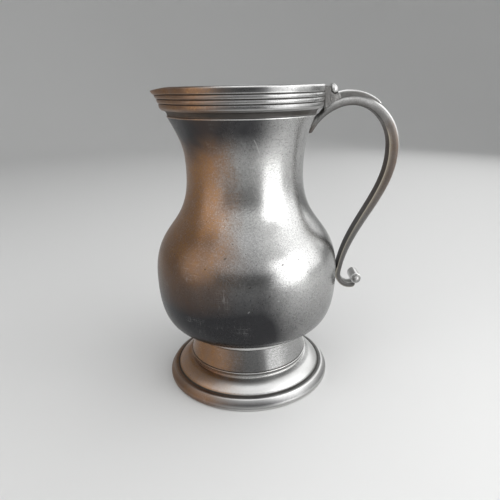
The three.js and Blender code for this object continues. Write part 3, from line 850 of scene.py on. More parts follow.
class PITCHER_OT_mouth_rim(bpy.types.Operator):
    """Turns the reeded mouth ring and draws out its pouring lip"""

    bl_idname = "pitcher.mouth_rim"
    bl_label = "Mouth ring"

    def execute(self, context):
        settings = context.scene.pitcher
        mouth, body = settings.mouth, settings.body
        outline = self.outline(mouth, body)
        radius, height = outline.T
        rise = height - mouth.base_height
        # Painted shade over the hollow and the lower band's lower half
        soil = smoothstep(rise, 0.7 * MM, 1.2 * MM) * (1 - smoothstep(rise, 3.2 * MM, 6 * MM))
        inside = radius < body.neck_top_radius + rise * 0.25 - 0.5 * MM
        soil = np.where(inside, RINSED, soil)
        bend = partial(drawn_lip, mouth=mouth)
        add_turned("mouth_rim", outline, "pewter_rim", relief(outline, 0.55 * MM), soil, bend)
        return {"FINISHED"}

    def outline(self, mouth, body):
        """Raised line, hollow, lower band, two reeds, top band, rim and inner face, with rounded corners."""
        neck, base = body.neck_top_radius, mouth.base_height
        rim, rim_radius = mouth.rim_height, mouth.rim_radius
        low = rim_radius - 0.5 * MM
        # The thin raised line
        crease, proud = 0.05 * MM, 0.42 * MM
        line = [
            [neck + crease, base],
            [neck + proud, base + 0.18 * MM],
            [neck + proud, base + 0.62 * MM],
            [neck + crease, base + 0.85 * MM],
        ]
        cuts = [0.02 * MM, 0.2 * MM, 0.2 * MM, 0.15 * MM]
        # The hollow over it
        hollow_low = base + 0.9 * MM
        hollow_top = hollow_low + mouth.hollow
        controls = (
            [neck + 0.02 * MM, hollow_low],
            [neck + 0.15 * MM, hollow_low + 1.6 * MM],
            [neck + 0.9 * MM, hollow_top - 0.5 * MM],
            [low - 1.1 * MM, hollow_top - 0.25 * MM],
        )
        hollow = bezier(controls, 9).tolist()
        line += hollow
        cuts += [0.0] * len(hollow)
        # The lower band, two reeds and the top band, with a groove under each but the first
        edges = np.cumsum([hollow_top, mouth.lower_band, mouth.reed, mouth.reed, mouth.top_band])
        radii = np.linspace(low, rim_radius, len(edges) - 1)
        last = len(radii) - 1
        shoulder, half_groove = 0.32 * MM, 0.08 * MM
        for k, radius in enumerate(radii):
            floor, roof = edges[k : k + 2]
            lead, swell = shoulder, mouth.swell
            if k == 0:
                lead = 0.75 * MM
            else:
                bottom = radius - mouth.groove
                line += [[bottom, floor - half_groove], [bottom, floor + half_groove]]
                cuts += [0.1 * MM, 0.1 * MM]
            if k == last:
                swell = mouth.swell * 0.5
            line += [[radius - 0.04 * MM, floor + lead], [radius + swell, (floor + roof) / 2 + 0.1 * MM]]
            cuts += [0.24 * MM, 0.9 * MM]
            if k < last:
                line += [[radius - 0.02 * MM, roof - shoulder]]
                cuts += [0.24 * MM]
        # The rounded rim and the inner face
        line += [
            [rim_radius + 0.02 * MM, rim - 0.45 * MM],
            [rim_radius - 0.5 * MM, rim],
            [rim_radius - 2.1 * MM, rim],
            [rim_radius - 2.75 * MM, rim - 0.7 * MM],
            [low - body.wall - mouth.groove, hollow_top],
            [neck - body.wall, base],
        ]
        cuts += [0.4 * MM, 0.55 * MM, 0.6 * MM, 0.8 * MM, 2.5 * MM, 0.02 * MM]
        return rounded(line, cuts)


class PITCHER_OT_body_shells(bpy.types.Operator):
    """Turns the neck shell and the belly bowl, which meet flush at the widest line"""

    bl_idname = "pitcher.body_shells"
    bl_label = "Neck and belly"

    def execute(self, context):
        settings = context.scene.pitcher
        body, mouth = settings.body, settings.mouth
        belly, shoulder, flare = body_curves(body, mouth)
        self.neck(body, mouth, shoulder, flare)
        self.bowl(body, belly)
        return {"FINISHED"}

    def neck(self, body, mouth, shoulder, flare):
        """Shoulder and flare, with the inner line one wall to their left, turned and drawn out at the lip."""
        outer = np.vstack([bezier(shoulder, 90), bezier(flare, 60)[1:]])
        inner = outer + left_of(outer) * body.wall
        inner[0] = [body.belly_radius - body.wall, body.belly_height]
        inner[-1] = [body.neck_top_radius - body.wall, mouth.base_height]
        outline = np.vstack([outer, inner[::-1]])
        soil = np.repeat([0.0, RINSED], [len(outer), len(inner)])
        bend = partial(drawn_lip, mouth=mouth)
        add_turned("neck_shell", outline, "pewter_body", np.zeros(len(outline)), soil, bend)

    def bowl(self, body, belly):
        """Belly, inner line and a floor that joins it by a small curve, turned and closed at the axis."""
        outer = bezier(belly, 90)
        inner = outer + left_of(outer) * body.wall
        floor_top = body.bowl_height + body.floor
        inner = inner[inner[:, 1] > floor_top + 0.8 * MM]
        inner[-1] = [body.belly_radius - body.wall, body.belly_height]
        start = np.array([[0, body.bowl_height], [body.bowl_radius - 0.1 * MM, body.bowl_height]])
        wall_foot = inner[0] - (1.5 * MM, 0.9 * MM)
        floor_edge = (body.bowl_radius - 3 * MM, floor_top)
        floor = bezier((inner[0], wall_foot, (body.bowl_radius, floor_top), floor_edge), 10)[1:]
        line = np.vstack([start, outer, inner[::-1], floor, [[0, floor_top]]])
        points, faces = turned_solid(line, SEGMENTS["belly_bowl"])
        soil = np.repeat([0.0, RINSED], [len(outer) + 1, len(inner) + len(floor)])
        soil = np.append(np.tile(soil, SEGMENTS["belly_bowl"]), [0.0, RINSED])
        add_piece("belly_bowl", points, faces, "pewter_body", None, soil)


class PITCHER_OT_foot(bpy.types.Operator):
    """Turns the flaring collar and the stepped base"""

    bl_idname = "pitcher.foot"
    bl_label = "Foot"

    def execute(self, context):
        settings = context.scene.pitcher
        self.collar(settings.foot, settings.body)
        self.base(settings.foot)
        return {"FINISHED"}

    def collar(self, foot, body):
        """A plain step, a thin lip, a flaring wall and a ring under the bowl, turned round the axis."""
        step, lip = 2.4 * MM, 0.9 * MM
        step_top = foot.base_height + step
        lip_top = step_top + lip
        top, ring, waist = body.bowl_height, foot.ring_height, foot.waist_radius
        inside = waist - foot.wall
        step_inside = foot.collar_radius - foot.wall
        bend = [waist + foot.collar_flare * (foot.collar_radius - waist), (lip_top + ring) / 2]
        flare = parabola([foot.collar_radius, lip_top], bend, [waist, ring - 0.25 * MM], 22)
        line = [
            [foot.collar_radius, foot.base_height],
            [foot.collar_radius, step_top],
            [foot.lip_radius, step_top + 0.15 * MM],
            [foot.lip_radius, lip_top - 0.1 * MM],
            *flare.tolist(),
            [waist + 0.15 * MM, ring + 0.05 * MM],
            [waist + 1.2 * MM, ring + 0.2 * MM],
            [body.bowl_radius - 0.2 * MM, ring + 0.9 * MM],
            [body.bowl_radius, ring + 2 * MM],
            [body.bowl_radius, top],
            [inside, top],
            [inside, ring],
            [step_inside, step_top],
            [step_inside, foot.base_height],
        ]
        cuts = [0.03 * MM, 0.2 * MM, 0.3 * MM, 0.3 * MM] + [0.0] * len(flare)
        cuts += [0.12 * MM, 0.4 * MM, 0.5 * MM, 0.6 * MM, 0.03 * MM, 0.03 * MM, 2 * MM, 1 * MM, 0.03 * MM]
        outline = rounded(line, cuts)
        radius, height = outline.T
        # Painted shade on the step under the lip and in the crease under the bowl
        soil = 0.6 * (1 - smoothstep(height, step_top - 0.1 * MM, step_top + 0.2 * MM))
        soil = np.maximum(soil, 0.4 * smoothstep(height, top - 0.5 * MM, top - 0.1 * MM))
        soil = soil * (radius > inside + 0.5 * MM)
        # The ring under the bowl is brightened: a painted highlight
        brightened = smoothstep(height, ring + 0.2 * MM, ring + 0.8 * MM) * (radius > waist)
        add_turned("foot_collar", outline, "pewter_foot", relief(outline, 0.6 * MM) + brightened, soil)

    def base(self, foot):
        """Standing ring, rounded edge, sloping band, ledge and swelling slope, turned round the axis."""
        edge, seat, slope_start = foot.foot_radius, foot.lip_radius, foot.slope_radius
        low, high = foot.band_height, foot.base_height
        inside = foot.collar_radius - foot.wall
        bulge = (1 + foot.slope_swell) / 2
        bend = [seat + bulge * (slope_start - seat), low + bulge * (high - low)]
        slope = parabola([slope_start, low], bend, [seat, high], 26)
        under = slope[::-1] - (0, foot.wall)
        under[:, 0] = seat + 0.7 * (under[:, 0] - seat)
        stand = edge - 1.2 * MM
        inner_stand = stand - foot.stand_width
        line = [
            [stand, 0],
            [edge - 0.1 * MM, 0.7 * MM],
            [edge, 2.4 * MM],
            [edge - 0.3 * MM, 3.3 * MM],
            [foot.band_radius + 0.15 * MM, low - 0.35 * MM],
            [foot.band_radius - 0.45 * MM, low + 0.02 * MM],
            [slope_start + 0.55 * MM, low - 0.08 * MM],
            *slope.tolist(),
            [inside, high],
            [inside, high - foot.wall],
            *under.tolist(),
            [inner_stand, 3.2 * MM],
            [inner_stand, 0],
        ]
        cuts = [0.3 * MM, 0.7 * MM, 0.8 * MM, 0.5 * MM, 0.4 * MM, 0.4 * MM, 0.35 * MM] + [0.0] * len(slope)
        cuts += [0.03 * MM, 0.5 * MM] + [0.0] * len(under) + [0.8 * MM, 0.3 * MM]
        outline = rounded(line, cuts)
        radius, height = outline.T
        # Painted shade on the ledge and in the corner under the collar's lip
        ledge = smoothstep(radius, slope_start - 0.4 * MM, slope_start - 0.05 * MM)
        ledge = ledge * (1 - smoothstep(radius, foot.band_radius - 1.3 * MM, foot.band_radius - 0.6 * MM))
        soil = 0.2 * ledge * (height > low - 0.6 * MM)
        corner = 1 - smoothstep(radius, seat + 0.3 * MM, seat + 1.6 * MM)
        soil = np.maximum(soil, 0.1 * corner * (height > high - 1 * MM))
        # A band of the slope is brightened: rubbed metal with a painted highlight
        worn_and_sheen = smoothstep(radius, seat + 1.2 * MM, seat + 3 * MM) * (height > low)
        worn_and_sheen = worn_and_sheen * (1 - smoothstep(radius, slope_start - 1 * MM, slope_start - 0.2 * MM))
        add_turned("foot_base", outline, "pewter_foot", relief(outline, 0.8 * MM) + 1.1 * worn_and_sheen, soil)


# Pieces of the handle


class Strap:
    """The strap's middle line in the upright plane, with its widths and thicknesses along it.

    Three cubic curves run from the root over the crest and grip to the heel, and an arc makes the curl. The
    thickness goes from one named value to the next along each stretch, and grows early off the root.
    """

    def __init__(self, handle):
        root, crest, grip = (np.array(spot) for spot in (handle.root, handle.crest, handle.grip))
        centre = np.array(handle.curl_centre)
        start = np.pi - handle.heel_lean
        heel = centre + handle.curl_radius * np.array([np.cos(start), np.sin(start)])
        lean = np.array([np.sin(handle.heel_lean), np.cos(handle.heel_lean)])
        rise = unit(np.array([0.43, 1.0])) * handle.root_pull
        stretches = [
            bezier((root, root + rise, crest - (handle.crest_pull_in, 0), crest), 400),
            bezier((crest, crest + (handle.crest_pull_out, 0), grip + (0, handle.grip_pull), grip), 400),
            bezier((grip, grip - (0, handle.run_pull), heel + lean * handle.heel_pull, heel), 600),
            ellipse(centre, (handle.curl_radius,) * 2, start, handle.curl_end, 200),
        ]
        line = np.vstack([stretches[0]] + [stretch[1:] for stretch in stretches[1:]])
        along = along_line(line)
        lasts = np.cumsum([len(stretch) - 1 for stretch in stretches])
        self.stops = np.concatenate([[0], along[lasts]])
        self.length = along[-1]
        self.crest_at = self.stops[1]
        self._line, self._along = line, along
        self.handle = handle

    def middle(self, at):
        """Points of the middle line at distances along it."""
        return np.stack([np.interp(at, self._along, self._line[:, k]) for k in (0, 1)], axis=-1)

    def away(self, at):
        """Unit directions that point away from the hand, to the left of the line."""
        step = 0.15 * MM
        before, after = np.maximum(at - step, 0), np.minimum(at + step, self.length)
        tangent = unit(self.middle(after) - self.middle(before))
        return np.stack([-tangent[..., 1], tangent[..., 0]], axis=-1)

    def shares(self, at):
        """Distances along the strap as whole and part numbers of its stretches, eased on the first."""
        part = np.interp(at, self.stops, np.arange(len(self.stops)))
        return np.where(part < 1, smoothstep(part, 0, 0.7), part)

    def thickness(self, at):
        """Thicknesses at distances along the strap."""
        stations = ("root", "crest", "grip", "heel", "curl")
        sizes = [getattr(self.handle, station + "_thickness") for station in stations]
        return np.interp(self.shares(at), np.arange(len(sizes)), sizes)

    def breadth(self, at):
        """Widths at distances along the strap."""
        return np.interp(self.shares(at), [0, 1], [self.handle.root_width, self.handle.width])

    def back(self, at, clearance):
        """Points on the strap's back, lifted off it by a clearance."""
        return self.middle(at) + self.away(at) * (self.thickness(at) / 2 + clearance)[..., None]

    def at_reach(self, reach, clearance):
        """Where along the strap, before the crest, its back is that far from the axis."""
        at = np.linspace(0, self.crest_at, 2000)
        return float(np.interp(reach, self.back(at, clearance)[:, 0], at))

    def carried(self, at, across, out):
        """Rings of points that lie across the strap and out from its middle line at distances along it."""
        spots = self.middle(at)[:, None] + self.away(at)[:, None] * out[..., None]
        return in_plane(spots, across)


def in_plane(spots, across):
    """Points of the upright plane given as reach and height, moved across it."""
    across = np.broadcast_to(across, spots.shape[:-1])
    return np.stack([spots[..., 0], across, spots[..., 1]], axis=-1)


def round_end(distance, reach, least):
    """A quarter circle's height over the distance from an end: 1 past its reach, and never under a least."""
    return np.sqrt(np.clip(1 - (1 - np.clip(distance / reach, 0, 1)) ** 2, least, 1))


def with_ends(rows, ends=(0, 0)):
    """One attribute of a lofted piece: its rows in order, then the middles of its two end faces."""
    return np.append(rows.ravel(), ends)


class PITCHER_OT_handle_strap(bpy.types.Operator):
    """Carries the strap's section along its bent middle line"""

    bl_idname = "pitcher.handle_strap"
    bl_label = "Handle strap"

    def execute(self, context):
        settings = context.scene.pitcher
        strap = Strap(settings.handle)
        at = np.linspace(0, strap.length, 420)
        section = self.section()
        tip = round_end(strap.length - at, 2.4 * MM, 0.02)
        narrow = strap.breadth(at) * round_end(at, 1.2 * MM, 0.02)
        thin = strap.thickness(at) * tip * round_end(at, 5 * MM, 0.02)
        lift = (1 - tip) * strap.thickness(at) / 2
        across = section[None, :, 0] * narrow[:, None]
        out = section[None, :, 1] * thin[:, None] + lift[:, None]
        points, faces = lofted(strap.carried(at, across, out))
        points = self.soldered(points, settings)
        heights, soil = self.wear_and_shade(section, settings.handle.width, at - strap.crest_at)
        add_piece("handle_strap", points, faces, "pewter_handle", heights, soil)
        return {"FINISHED"}

    def section(self):
        """The strap's section in shares of its width and thickness: half an ellipse over short flanks, with
        crisp corners and a hardly rounded face towards the hand."""
        arch = ellipse((0, -0.02), (0.5, 0.52), 0, np.pi, 31)
        corners = np.vstack([arch, [[-0.5, -0.43], [0, -0.5], [0.5, -0.43]]])
        return rounded(corners, [0.0] * len(arch) + [0.06, 0.3, 0.06])

    def wear_and_shade(self, section, width, past_crest):
        """Rubbed and soiled points, with painted light and shade: by the level in the section and the
        distance past the crest.

        Past the crest the back carries a painted highlight over flanks in painted shade. Before it the
        underside has painted shade. Corners are rubbed, with a painted warm glint, most where the hand holds
        the strap, and the face towards the hand has painted shade all along.
        """
        thickness = 5.4 * MM
        level = section[:, 1]
        handled_and_lit = smoothstep(past_crest, 4 * MM, 15 * MM)[:, None]
        held_and_glinting = smoothstep(past_crest, 16 * MM, 32 * MM)[:, None]
        corners = relief(section * (width, thickness), 0.25 * MM) * 2.1
        # The back past the crest gets a painted highlight, and the corners a painted warm glint where the
        # hand holds
        heights = corners * (0.1 + 0.9 * held_and_glinting) + 1.6 * smoothstep(level, 0.24, 0.38) * handled_and_lit
        # Painted shade on the flanks, the underside, beside the tongue and on the face towards the hand
        shaded_flank = 0.7 * (1 - smoothstep(level, 0.05, 0.42)) * handled_and_lit
        shaded_underside = 0.95 * (1 - smoothstep(level, -0.42, 0.28)) * (1 - held_and_glinting)
        shade_beside_tongue = 0.6 * smoothstep(level, 0.36, 0.46) * (1 - handled_and_lit)
        inner = 0.75 * smoothstep(-level, 0.44, 0.47)
        soil = np.maximum(np.maximum(shaded_flank, shaded_underside), np.maximum(shade_beside_tongue, inner))
        return with_ends(heights), with_ends(soil)

    def soldered(self, points, settings):
        """Draws the strap's nearest points on to the body: a small gap is closed, a wide one stays.

        Up the neck, where the root lies flat, the gap that closes is more than twice as wide as at the heel.
        """
        line = np.vstack([bezier(curve, 80) for curve in body_curves(settings.body, settings.mouth)])
        radius = np.interp(points[:, 2], line[:, 1], line[:, 0])
        gap = points[:, 0] - np.sqrt(radius**2 - points[:, 1] ** 2)
        reach = np.where(points[:, 2] > settings.body.neck_height, 0.8, 0.35) * MM
        closing = gap * (1 - smoothstep(gap, reach, reach + 1 * MM))
        return points - np.stack([closing, 0 * gap, 0 * gap], axis=1)


class PITCHER_OT_handle_tongue(bpy.types.Operator):
    """Lays the raised tongue on the strap's back, from the bead to a point before the grip"""

    bl_idname = "pitcher.handle_tongue"
    bl_label = "Handle tongue"

    def execute(self, context):
        handle = context.scene.pitcher.handle
        strap = Strap(handle)
        start = strap.at_reach(BEAD_CENTRE[0] + handle.bead_width / 2 + 0.4 * MM, 0.3 * MM)
        at = np.linspace(start, strap.crest_at + handle.tongue_run, 150)
        part = (at - at[0]) / (at[-1] - at[0])
        fade = 1 - 0.8 * part**1.1
        rise = 0.92 + 0.08 * smoothstep(part, 0, 0.2)
        ends = round_end(part, 0.02, 0.05) * round_end(1 - part, 0.08, 0.002)
        corners = [[-1, 0], [-0.94, 0.68], [-0.5, 1], [0.5, 1], [0.94, 0.68], [1, 0]]
        ridge = rounded(corners, [0.02, 0.2, 0.3, 0.3, 0.2, 0.02], 8)
        half = handle.tongue_width / 2 * fade * ends
        tall = handle.tongue_height * fade * rise * ends + 0.9 * MM
        sunk = strap.thickness(at) / 2 - 0.6 * MM
        out = sunk[:, None] + ridge[None, :, 1] * tall[:, None]
        points, faces = lofted(strap.carried(at, ridge[None, :, 0] * half[:, None], out))
        # The tongue's top gets a painted highlight; its flanks and its front end get painted shade
        brightened = 2.0 * smoothstep(ridge[:, 1], 0.74, 0.95)
        shaded_flank = 0.8 * (1 - smoothstep(ridge[:, 1], 0.62, 0.85))
        heights = with_ends(np.tile(brightened, len(at)))
        soil = with_ends(np.tile(shaded_flank, len(at)), (0.8, 0))
        add_piece("handle_tongue", points, faces, "pewter_handle", heights, soil)
        return {"FINISHED"}


class PITCHER_OT_handle_lug(bpy.types.Operator):
    """Fills the corner between rim and strap with the lug that carries the bead"""

    bl_idname = "pitcher.handle_lug"
    bl_label = "Handle lug"

    def execute(self, context):
        settings = context.scene.pitcher
        handle = settings.handle
        outline, shoulder = self.outline(handle, settings.mouth)
        spots, levels = self.bevelled(outline, handle.lug_width / 2)
        skin = self.cast_skin(spots)
        taper = 1 - 0.22 * smoothstep(spots[..., 0], BEAD_CENTRE[0], shoulder)
        across = levels[:, None] * taper + np.sign(levels)[:, None] * skin
        points, faces = lofted(in_plane(spots, across))
        heights = with_ends(skin / RELIEF_UNIT)
        # The lug is darkened all over: 0.55 in the second point attribute
        add_piece("handle_lug", points, faces, "pewter_handle", heights, np.full(len(points), 0.55))
        return {"FINISHED"}

    def outline(self, handle, mouth):
        """The lug's side view and its farthest reach: rim, strap's back, shoulder and the bead's seat."""
        strap = Strap(handle)
        bead = BEAD_CENTRE[[0, 2]]
        sunk = 0.2 * MM
        steps = 24
        rim_side = mouth.rim_radius - 0.75 * MM
        start = strap.at_reach(rim_side, -0.3 * MM)
        finish = strap.at_reach(bead[0] + handle.bead_width / 2 + 1.6 * MM, 0.3 * MM)
        on_strap = strap.back(np.linspace(start, finish, steps), -1.3 * MM)
        shoulder = strap.back(np.array([finish]), 2.3 * MM)
        turns = np.pi * (1 - np.linspace(0, 0.82, 14))
        along = (handle.bead_length / 2 - sunk) * np.cos(turns)
        side = (handle.bead_width / 2 - sunk) * np.sin(turns)
        cos, sin = math.cos(handle.bead_lean), math.sin(handle.bead_lean)
        seat = bead + np.stack([-side * cos - along * sin, along * cos - side * sin], axis=1)
        corners = np.vstack([[[rim_side, mouth.rim_height - 0.7 * MM]], on_strap, shoulder, seat])
        cuts = np.zeros(len(corners))
        cuts[[0, 1, steps, steps + 1, steps + 2, -1]] = 0.3 * MM
        return rounded(corners, cuts, 5), shoulder[0, 0]

    def bevelled(self, outline, half_width):
        """Side views from flank to flank and their levels: quarter-round bevels and filled end faces."""
        bevel, fill = 0.45 * MM, 10
        loop = np.vstack([outline[-1:], outline, outline[:1]])
        inward = sense(outline) * left_of(loop)[1:-1]
        angle = np.linspace(0, np.pi / 2, 6)
        inset = bevel * (1 - np.sin(angle))
        level = half_width - bevel * (1 - np.cos(angle))
        spots = outline[None] + inward[None] * np.concatenate([inset, inset[::-1]])[:, None, None]
        middle = spots[0].mean(axis=0)
        shrink = 1 - np.linspace(0, 1, fill + 2)[1:-1, None, None]
        filled = middle + (spots[0] - middle) * shrink
        spots = np.concatenate([filled[::-1], spots, filled])
        levels = np.concatenate([np.full(fill, -level[0]), -level, level[::-1], np.full(fill, level[0])])
        return spots, levels

    def cast_skin(self, spots):
        """A rough cast skin: products of sines of about a millimetre's wave, crossed at odd angles."""
        x, z = spots[..., 0] / MM, spots[..., 1] / MM
        coarse = np.sin(5.3 * x + 1.9 * z) * np.sin(4.4 * z - 2.3 * x)
        fine = np.sin(7.9 * x - 3.1 * z) * np.sin(6.2 * z)
        return 0.07 * MM * (coarse + fine)


class PITCHER_OT_thumb_bead(bpy.types.Operator):
    """Sets the oval bead into the lug's seat"""

    bl_idname = "pitcher.thumb_bead"
    bl_label = "Thumb bead"

    def execute(self, context):
        handle = context.scene.pitcher.handle
        line = ellipse((0, 0), (handle.bead_width / 2, handle.bead_length / 2), -np.pi / 2, np.pi / 2, 40)
        points, faces = turned_solid(line, SEGMENTS["thumb_bead"])
        cos, sin = math.cos(handle.bead_lean), math.sin(handle.bead_lean)
        lean = np.array([[cos, 0, -sin], [0, 1, 0], [sin, 0, cos]])
        points = (points * (1, handle.bead_breadth / handle.bead_width, 1)) @ lean.T + BEAD_CENTRE
        add_piece("thumb_bead", points, faces, "pewter_handle", np.full(len(points), 1.1))
        return {"FINISHED"}


class PITCHER_OT_scroll(bpy.types.Operator):
    """Lays the roll across the strap's end and sets a domed button on each end of it"""

    bl_idname = "pitcher.scroll"
    bl_label = "Scroll"

    def execute(self, context):
        handle = context.scene.pitcher.handle
        half = float(ROLL_HIGH[1] - ROLL_LOW[1]) / 2
        self.lay("scroll_roll", self.roll(handle.roll_radius, half), 0, 1)
        button = self.button(handle)
        self.lay("scroll_button_near", button, -half, -1)
        self.lay("scroll_button_far", button, half, 1)
        return {"FINISHED"}

    def roll(self, radius, half):
        """Half the roll's section: a cylinder's with rounded edges."""
        edge = 0.35 * MM
        low = ellipse((radius - edge, -half + edge), (edge, edge), -np.pi / 2, 0, 7)
        return np.vstack([[[0, -half]], low, low[::-1] * (1, -1), [[0, half]]])

    def button(self, handle):
        """Half the button's section: a collar, a groove, a thin ring and a dome."""
        rim = handle.button_collar
        corners = [
            [0, 0],
            [rim, 0],
            [rim, 0.5 * MM],
            [rim - 0.28 * MM, 0.55 * MM],
            [rim - 0.4 * MM, 0.15 * MM],
            [rim - 0.5 * MM, 0.15 * MM],
            [rim - 0.6 * MM, 0.62 * MM],
            [rim - 0.82 * MM, 0.7 * MM],
            [rim - 0.9 * MM, 0.42 * MM],
        ]
        cuts = np.array([0, 0.06, 0.14, 0.12, 0.05, 0.05, 0.1, 0.1, 0.02]) * MM
        dome_foot, dome_rise = 0.45 * MM, 1.75 * MM
        dome = ellipse((0, dome_foot), (handle.button_radius - 0.42 * MM, dome_rise), 0, np.pi / 2, 18)[:-1]
        return np.vstack([rounded(corners, cuts, 5), dome, [[0, dome_foot + dome_rise]]])

    def lay(self, name, line, across, side):
        """A turned solid laid on its side at the roll's middle, its axis along +Y or -Y, rubbed all over."""
        brightened = 0.5
        points, faces = turned_solid(line, SEGMENTS["scroll"])
        points = np.stack([points[:, 0], side * points[:, 2], points[:, 1]], axis=1)
        points = points + ROLL_CENTRE + (0, across, 0)
        heights = brightened + relief(line, 0.35 * MM)[1:-1]
        heights = np.append(np.tile(heights, SEGMENTS["scroll"]), [brightened, brightened])
        add_piece(name, points, faces, "pewter_handle", heights)


# Stage

# Lamps: name, place, height on the axis that it looks at, width and height, and spread in degrees
LAMPS = (
    ("key", (0.33, -0.27, 0.168), 0.06, (0.31, 0.32), 140),
    ("side", (0.85, -0.08, 0.62), 0.30, (0.75, 1.16), 140),
    ("rim", (0.60, 0.68, 0.55), 0.25, (0.9, 0.7), 180),
    ("fill", (-0.56, -0.30, 0.30), 0.12, (0.50, 0.55), 140),
    ("front", (0.0, -0.70, 0.85), 0.1, (1.7, 1.25), 180),
    ("top", (AXIS_X, 0.0, 1.5), 0.0, (1.2, 1.2), 180),
)


def placed(right, up, back, place):
    """The matrix of an object from its three axes and its place."""
    axes = np.eye(4)
    axes[:3] = np.stack([right, up, back, place], axis=1)
    return Matrix(axes.tolist())


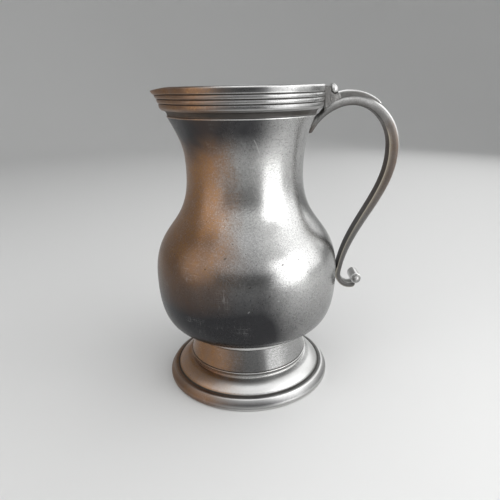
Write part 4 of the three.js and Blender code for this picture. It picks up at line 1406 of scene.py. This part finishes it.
class PITCHER_OT_stage(bpy.types.Operator):
    """Sets up the pale floor and backdrop, the soft lamps and the camera"""

    bl_idname = "pitcher.stage"
    bl_label = "Stage"

    def execute(self, context):
        stage = context.scene.pitcher.stage
        self.floor(context, stage)
        self.room(context, stage)
        for lamp in LAMPS:
            self.lamp(context, stage, *lamp)
        self.camera(context, stage)
        context.scene.view_settings.view_transform = "Standard"
        return {"FINISHED"}

    def floor(self, context, stage):
        """A level floor that bends up all round into a backdrop: a line of radius and height turned once."""
        centre_ring, flat = 0.02, 0.6
        bend_start, bend_radius, backdrop_height = 1.1, 0.8, 2.6
        bend = ellipse((bend_start, bend_radius), (bend_radius, bend_radius), -np.pi / 2, 0, 24)
        level, top = [[centre_ring, 0], [flat, 0]], [[bend_start + bend_radius, backdrop_height]]
        line = np.vstack([level, bend, top])
        segments = SEGMENTS["floor"]
        angle = np.linspace(0, 2 * np.pi, segments, endpoint=False)
        radius, height = line[:, :1], line[:, 1:]
        rings = np.stack([radius * np.cos(angle), radius * np.sin(angle), height + 0 * angle], axis=-1)
        points = np.vstack([rings.reshape(-1, 3), [[0, 0, 0]]])
        faces = grid_faces(len(line), segments, False).tolist()
        faces += fan_faces(np.arange(segments)[::-1], len(points) - 1).tolist()
        mesh = bpy.data.meshes.new("floor")
        mesh.from_pydata(points.tolist(), [], faces)
        mesh.polygons.foreach_set("use_smooth", np.ones(len(mesh.polygons), dtype=bool))
        material = bpy.data.materials.new("pale_floor")
        material.use_nodes = True
        sockets = {"Base Color": opaque(stage.floor), "Roughness": 0.6, "Specular IOR Level": 0.2}
        Bench(material.node_tree).surface(sockets)
        mesh.materials.append(material)
        floor = bpy.data.objects.new("floor", mesh)
        context.scene.collection.objects.link(floor)

    def room(self, context, stage):
        """An even, slightly cool light from all round."""
        world = bpy.data.worlds.new("room")
        world.use_nodes = True
        bench = Bench(world.node_tree)
        sockets = {"Color": (0.95, 0.98, 1.0, 1.0), "Strength": stage.room}
        light = bench.node("ShaderNodeBackground", None, sockets)
        bench.node("ShaderNodeOutputWorld", None, {"Surface": light})
        context.scene.world = world

    def lamp(self, context, stage, name, place, aim, size, spread):
        """A soft rectangle of light that looks at a height on the pitcher's axis."""
        light = bpy.data.lights.new(name, "AREA")
        light.shape = "RECTANGLE"
        light.size, light.size_y = size
        light.spread = math.radians(spread)
        light.energy = getattr(stage, name + "_power")
        lamp = bpy.data.objects.new(name, light)
        lamp.visible_camera = False
        back = unit(np.array(place) - (AXIS_X, 0.0, aim))
        overhead = abs(back[2]) > 0.95
        helper = (0.0, 1.0, 0.0) if overhead else (0.0, 0.0, 1.0)
        right = unit(np.cross(helper, back))
        lamp.matrix_world = placed(right, np.cross(back, right), back, place)
        context.scene.collection.objects.link(lamp)

    def camera(self, context, stage):
        """A level camera in front of the axis, turned, tipped down and leaned as the photograph's was."""
        pitch, yaw, roll = stage.camera_pitch, stage.camera_yaw, stage.camera_roll
        ahead = np.array([math.sin(yaw) * math.cos(pitch), math.cos(yaw) * math.cos(pitch), -math.sin(pitch)])
        level = np.array([math.cos(yaw), -math.sin(yaw), 0])
        above = np.cross(level, ahead)
        right = level * math.cos(roll) + above * math.sin(roll)
        up = above * math.cos(roll) - level * math.sin(roll)
        lens = bpy.data.cameras.new("camera")
        lens.sensor_width = 36
        lens.lens = lens.sensor_width * stage.camera_focus / PHOTO_SIDE
        lens.clip_start = 10 * MM
        camera = bpy.data.objects.new("camera", lens)
        camera.matrix_world = placed(right, up, -ahead, (AXIS_X, -stage.camera_away, stage.camera_height))
        context.scene.collection.objects.link(camera)
        context.scene.camera = camera


class PITCHER_PT_panel(bpy.types.Panel):
    """Lists the pitcher's pieces in the sidebar"""

    bl_idname = "PITCHER_PT_panel"
    bl_label = "Pewter pitcher"
    bl_space_type = "VIEW_3D"
    bl_region_type = "UI"
    bl_category = "Pitcher"

    def draw(self, context):
        for operator in OPERATORS:
            self.layout.operator(operator.bl_idname, text=operator.bl_label)
        settings = context.scene.pitcher
        for name in PitcherSettings.__annotations__:
            group = getattr(settings, name)
            column = self.layout.column(align=True)
            for key in type(group).__annotations__:
                column.prop(group, key)


OPERATORS = (
    PITCHER_OT_mouth_rim,
    PITCHER_OT_body_shells,
    PITCHER_OT_foot,
    PITCHER_OT_handle_strap,
    PITCHER_OT_handle_tongue,
    PITCHER_OT_handle_lug,
    PITCHER_OT_thumb_bead,
    PITCHER_OT_scroll,
    PITCHER_OT_stage,
)

CLASSES = (
    PitcherBody,
    PitcherMouth,
    PitcherFoot,
    PitcherHandle,
    PitcherFinish,
    PitcherStage,
    PitcherSettings,
    *OPERATORS,
    PITCHER_PT_panel,
)


def register():
    """Makes the classes known and hangs the settings on the scene."""
    for kind in CLASSES:
        bpy.utils.register_class(kind)
    bpy.types.Scene.pitcher = bpy.props.PointerProperty(type=PitcherSettings)


def unregister():
    """Takes the settings and the classes away again."""
    del bpy.types.Scene.pitcher
    for kind in reversed(CLASSES):
        bpy.utils.unregister_class(kind)


def main():
    """Builds every piece and the stage."""
    register()
    bpy.ops.pitcher.mouth_rim()
    bpy.ops.pitcher.body_shells()
    bpy.ops.pitcher.foot()
    bpy.ops.pitcher.handle_strap()
    bpy.ops.pitcher.handle_tongue()
    bpy.ops.pitcher.handle_lug()
    bpy.ops.pitcher.thumb_bead()
    bpy.ops.pitcher.scroll()
    bpy.ops.pitcher.stage()
    bpy.context.view_layer.update()


if __name__ == "__main__":
    main()
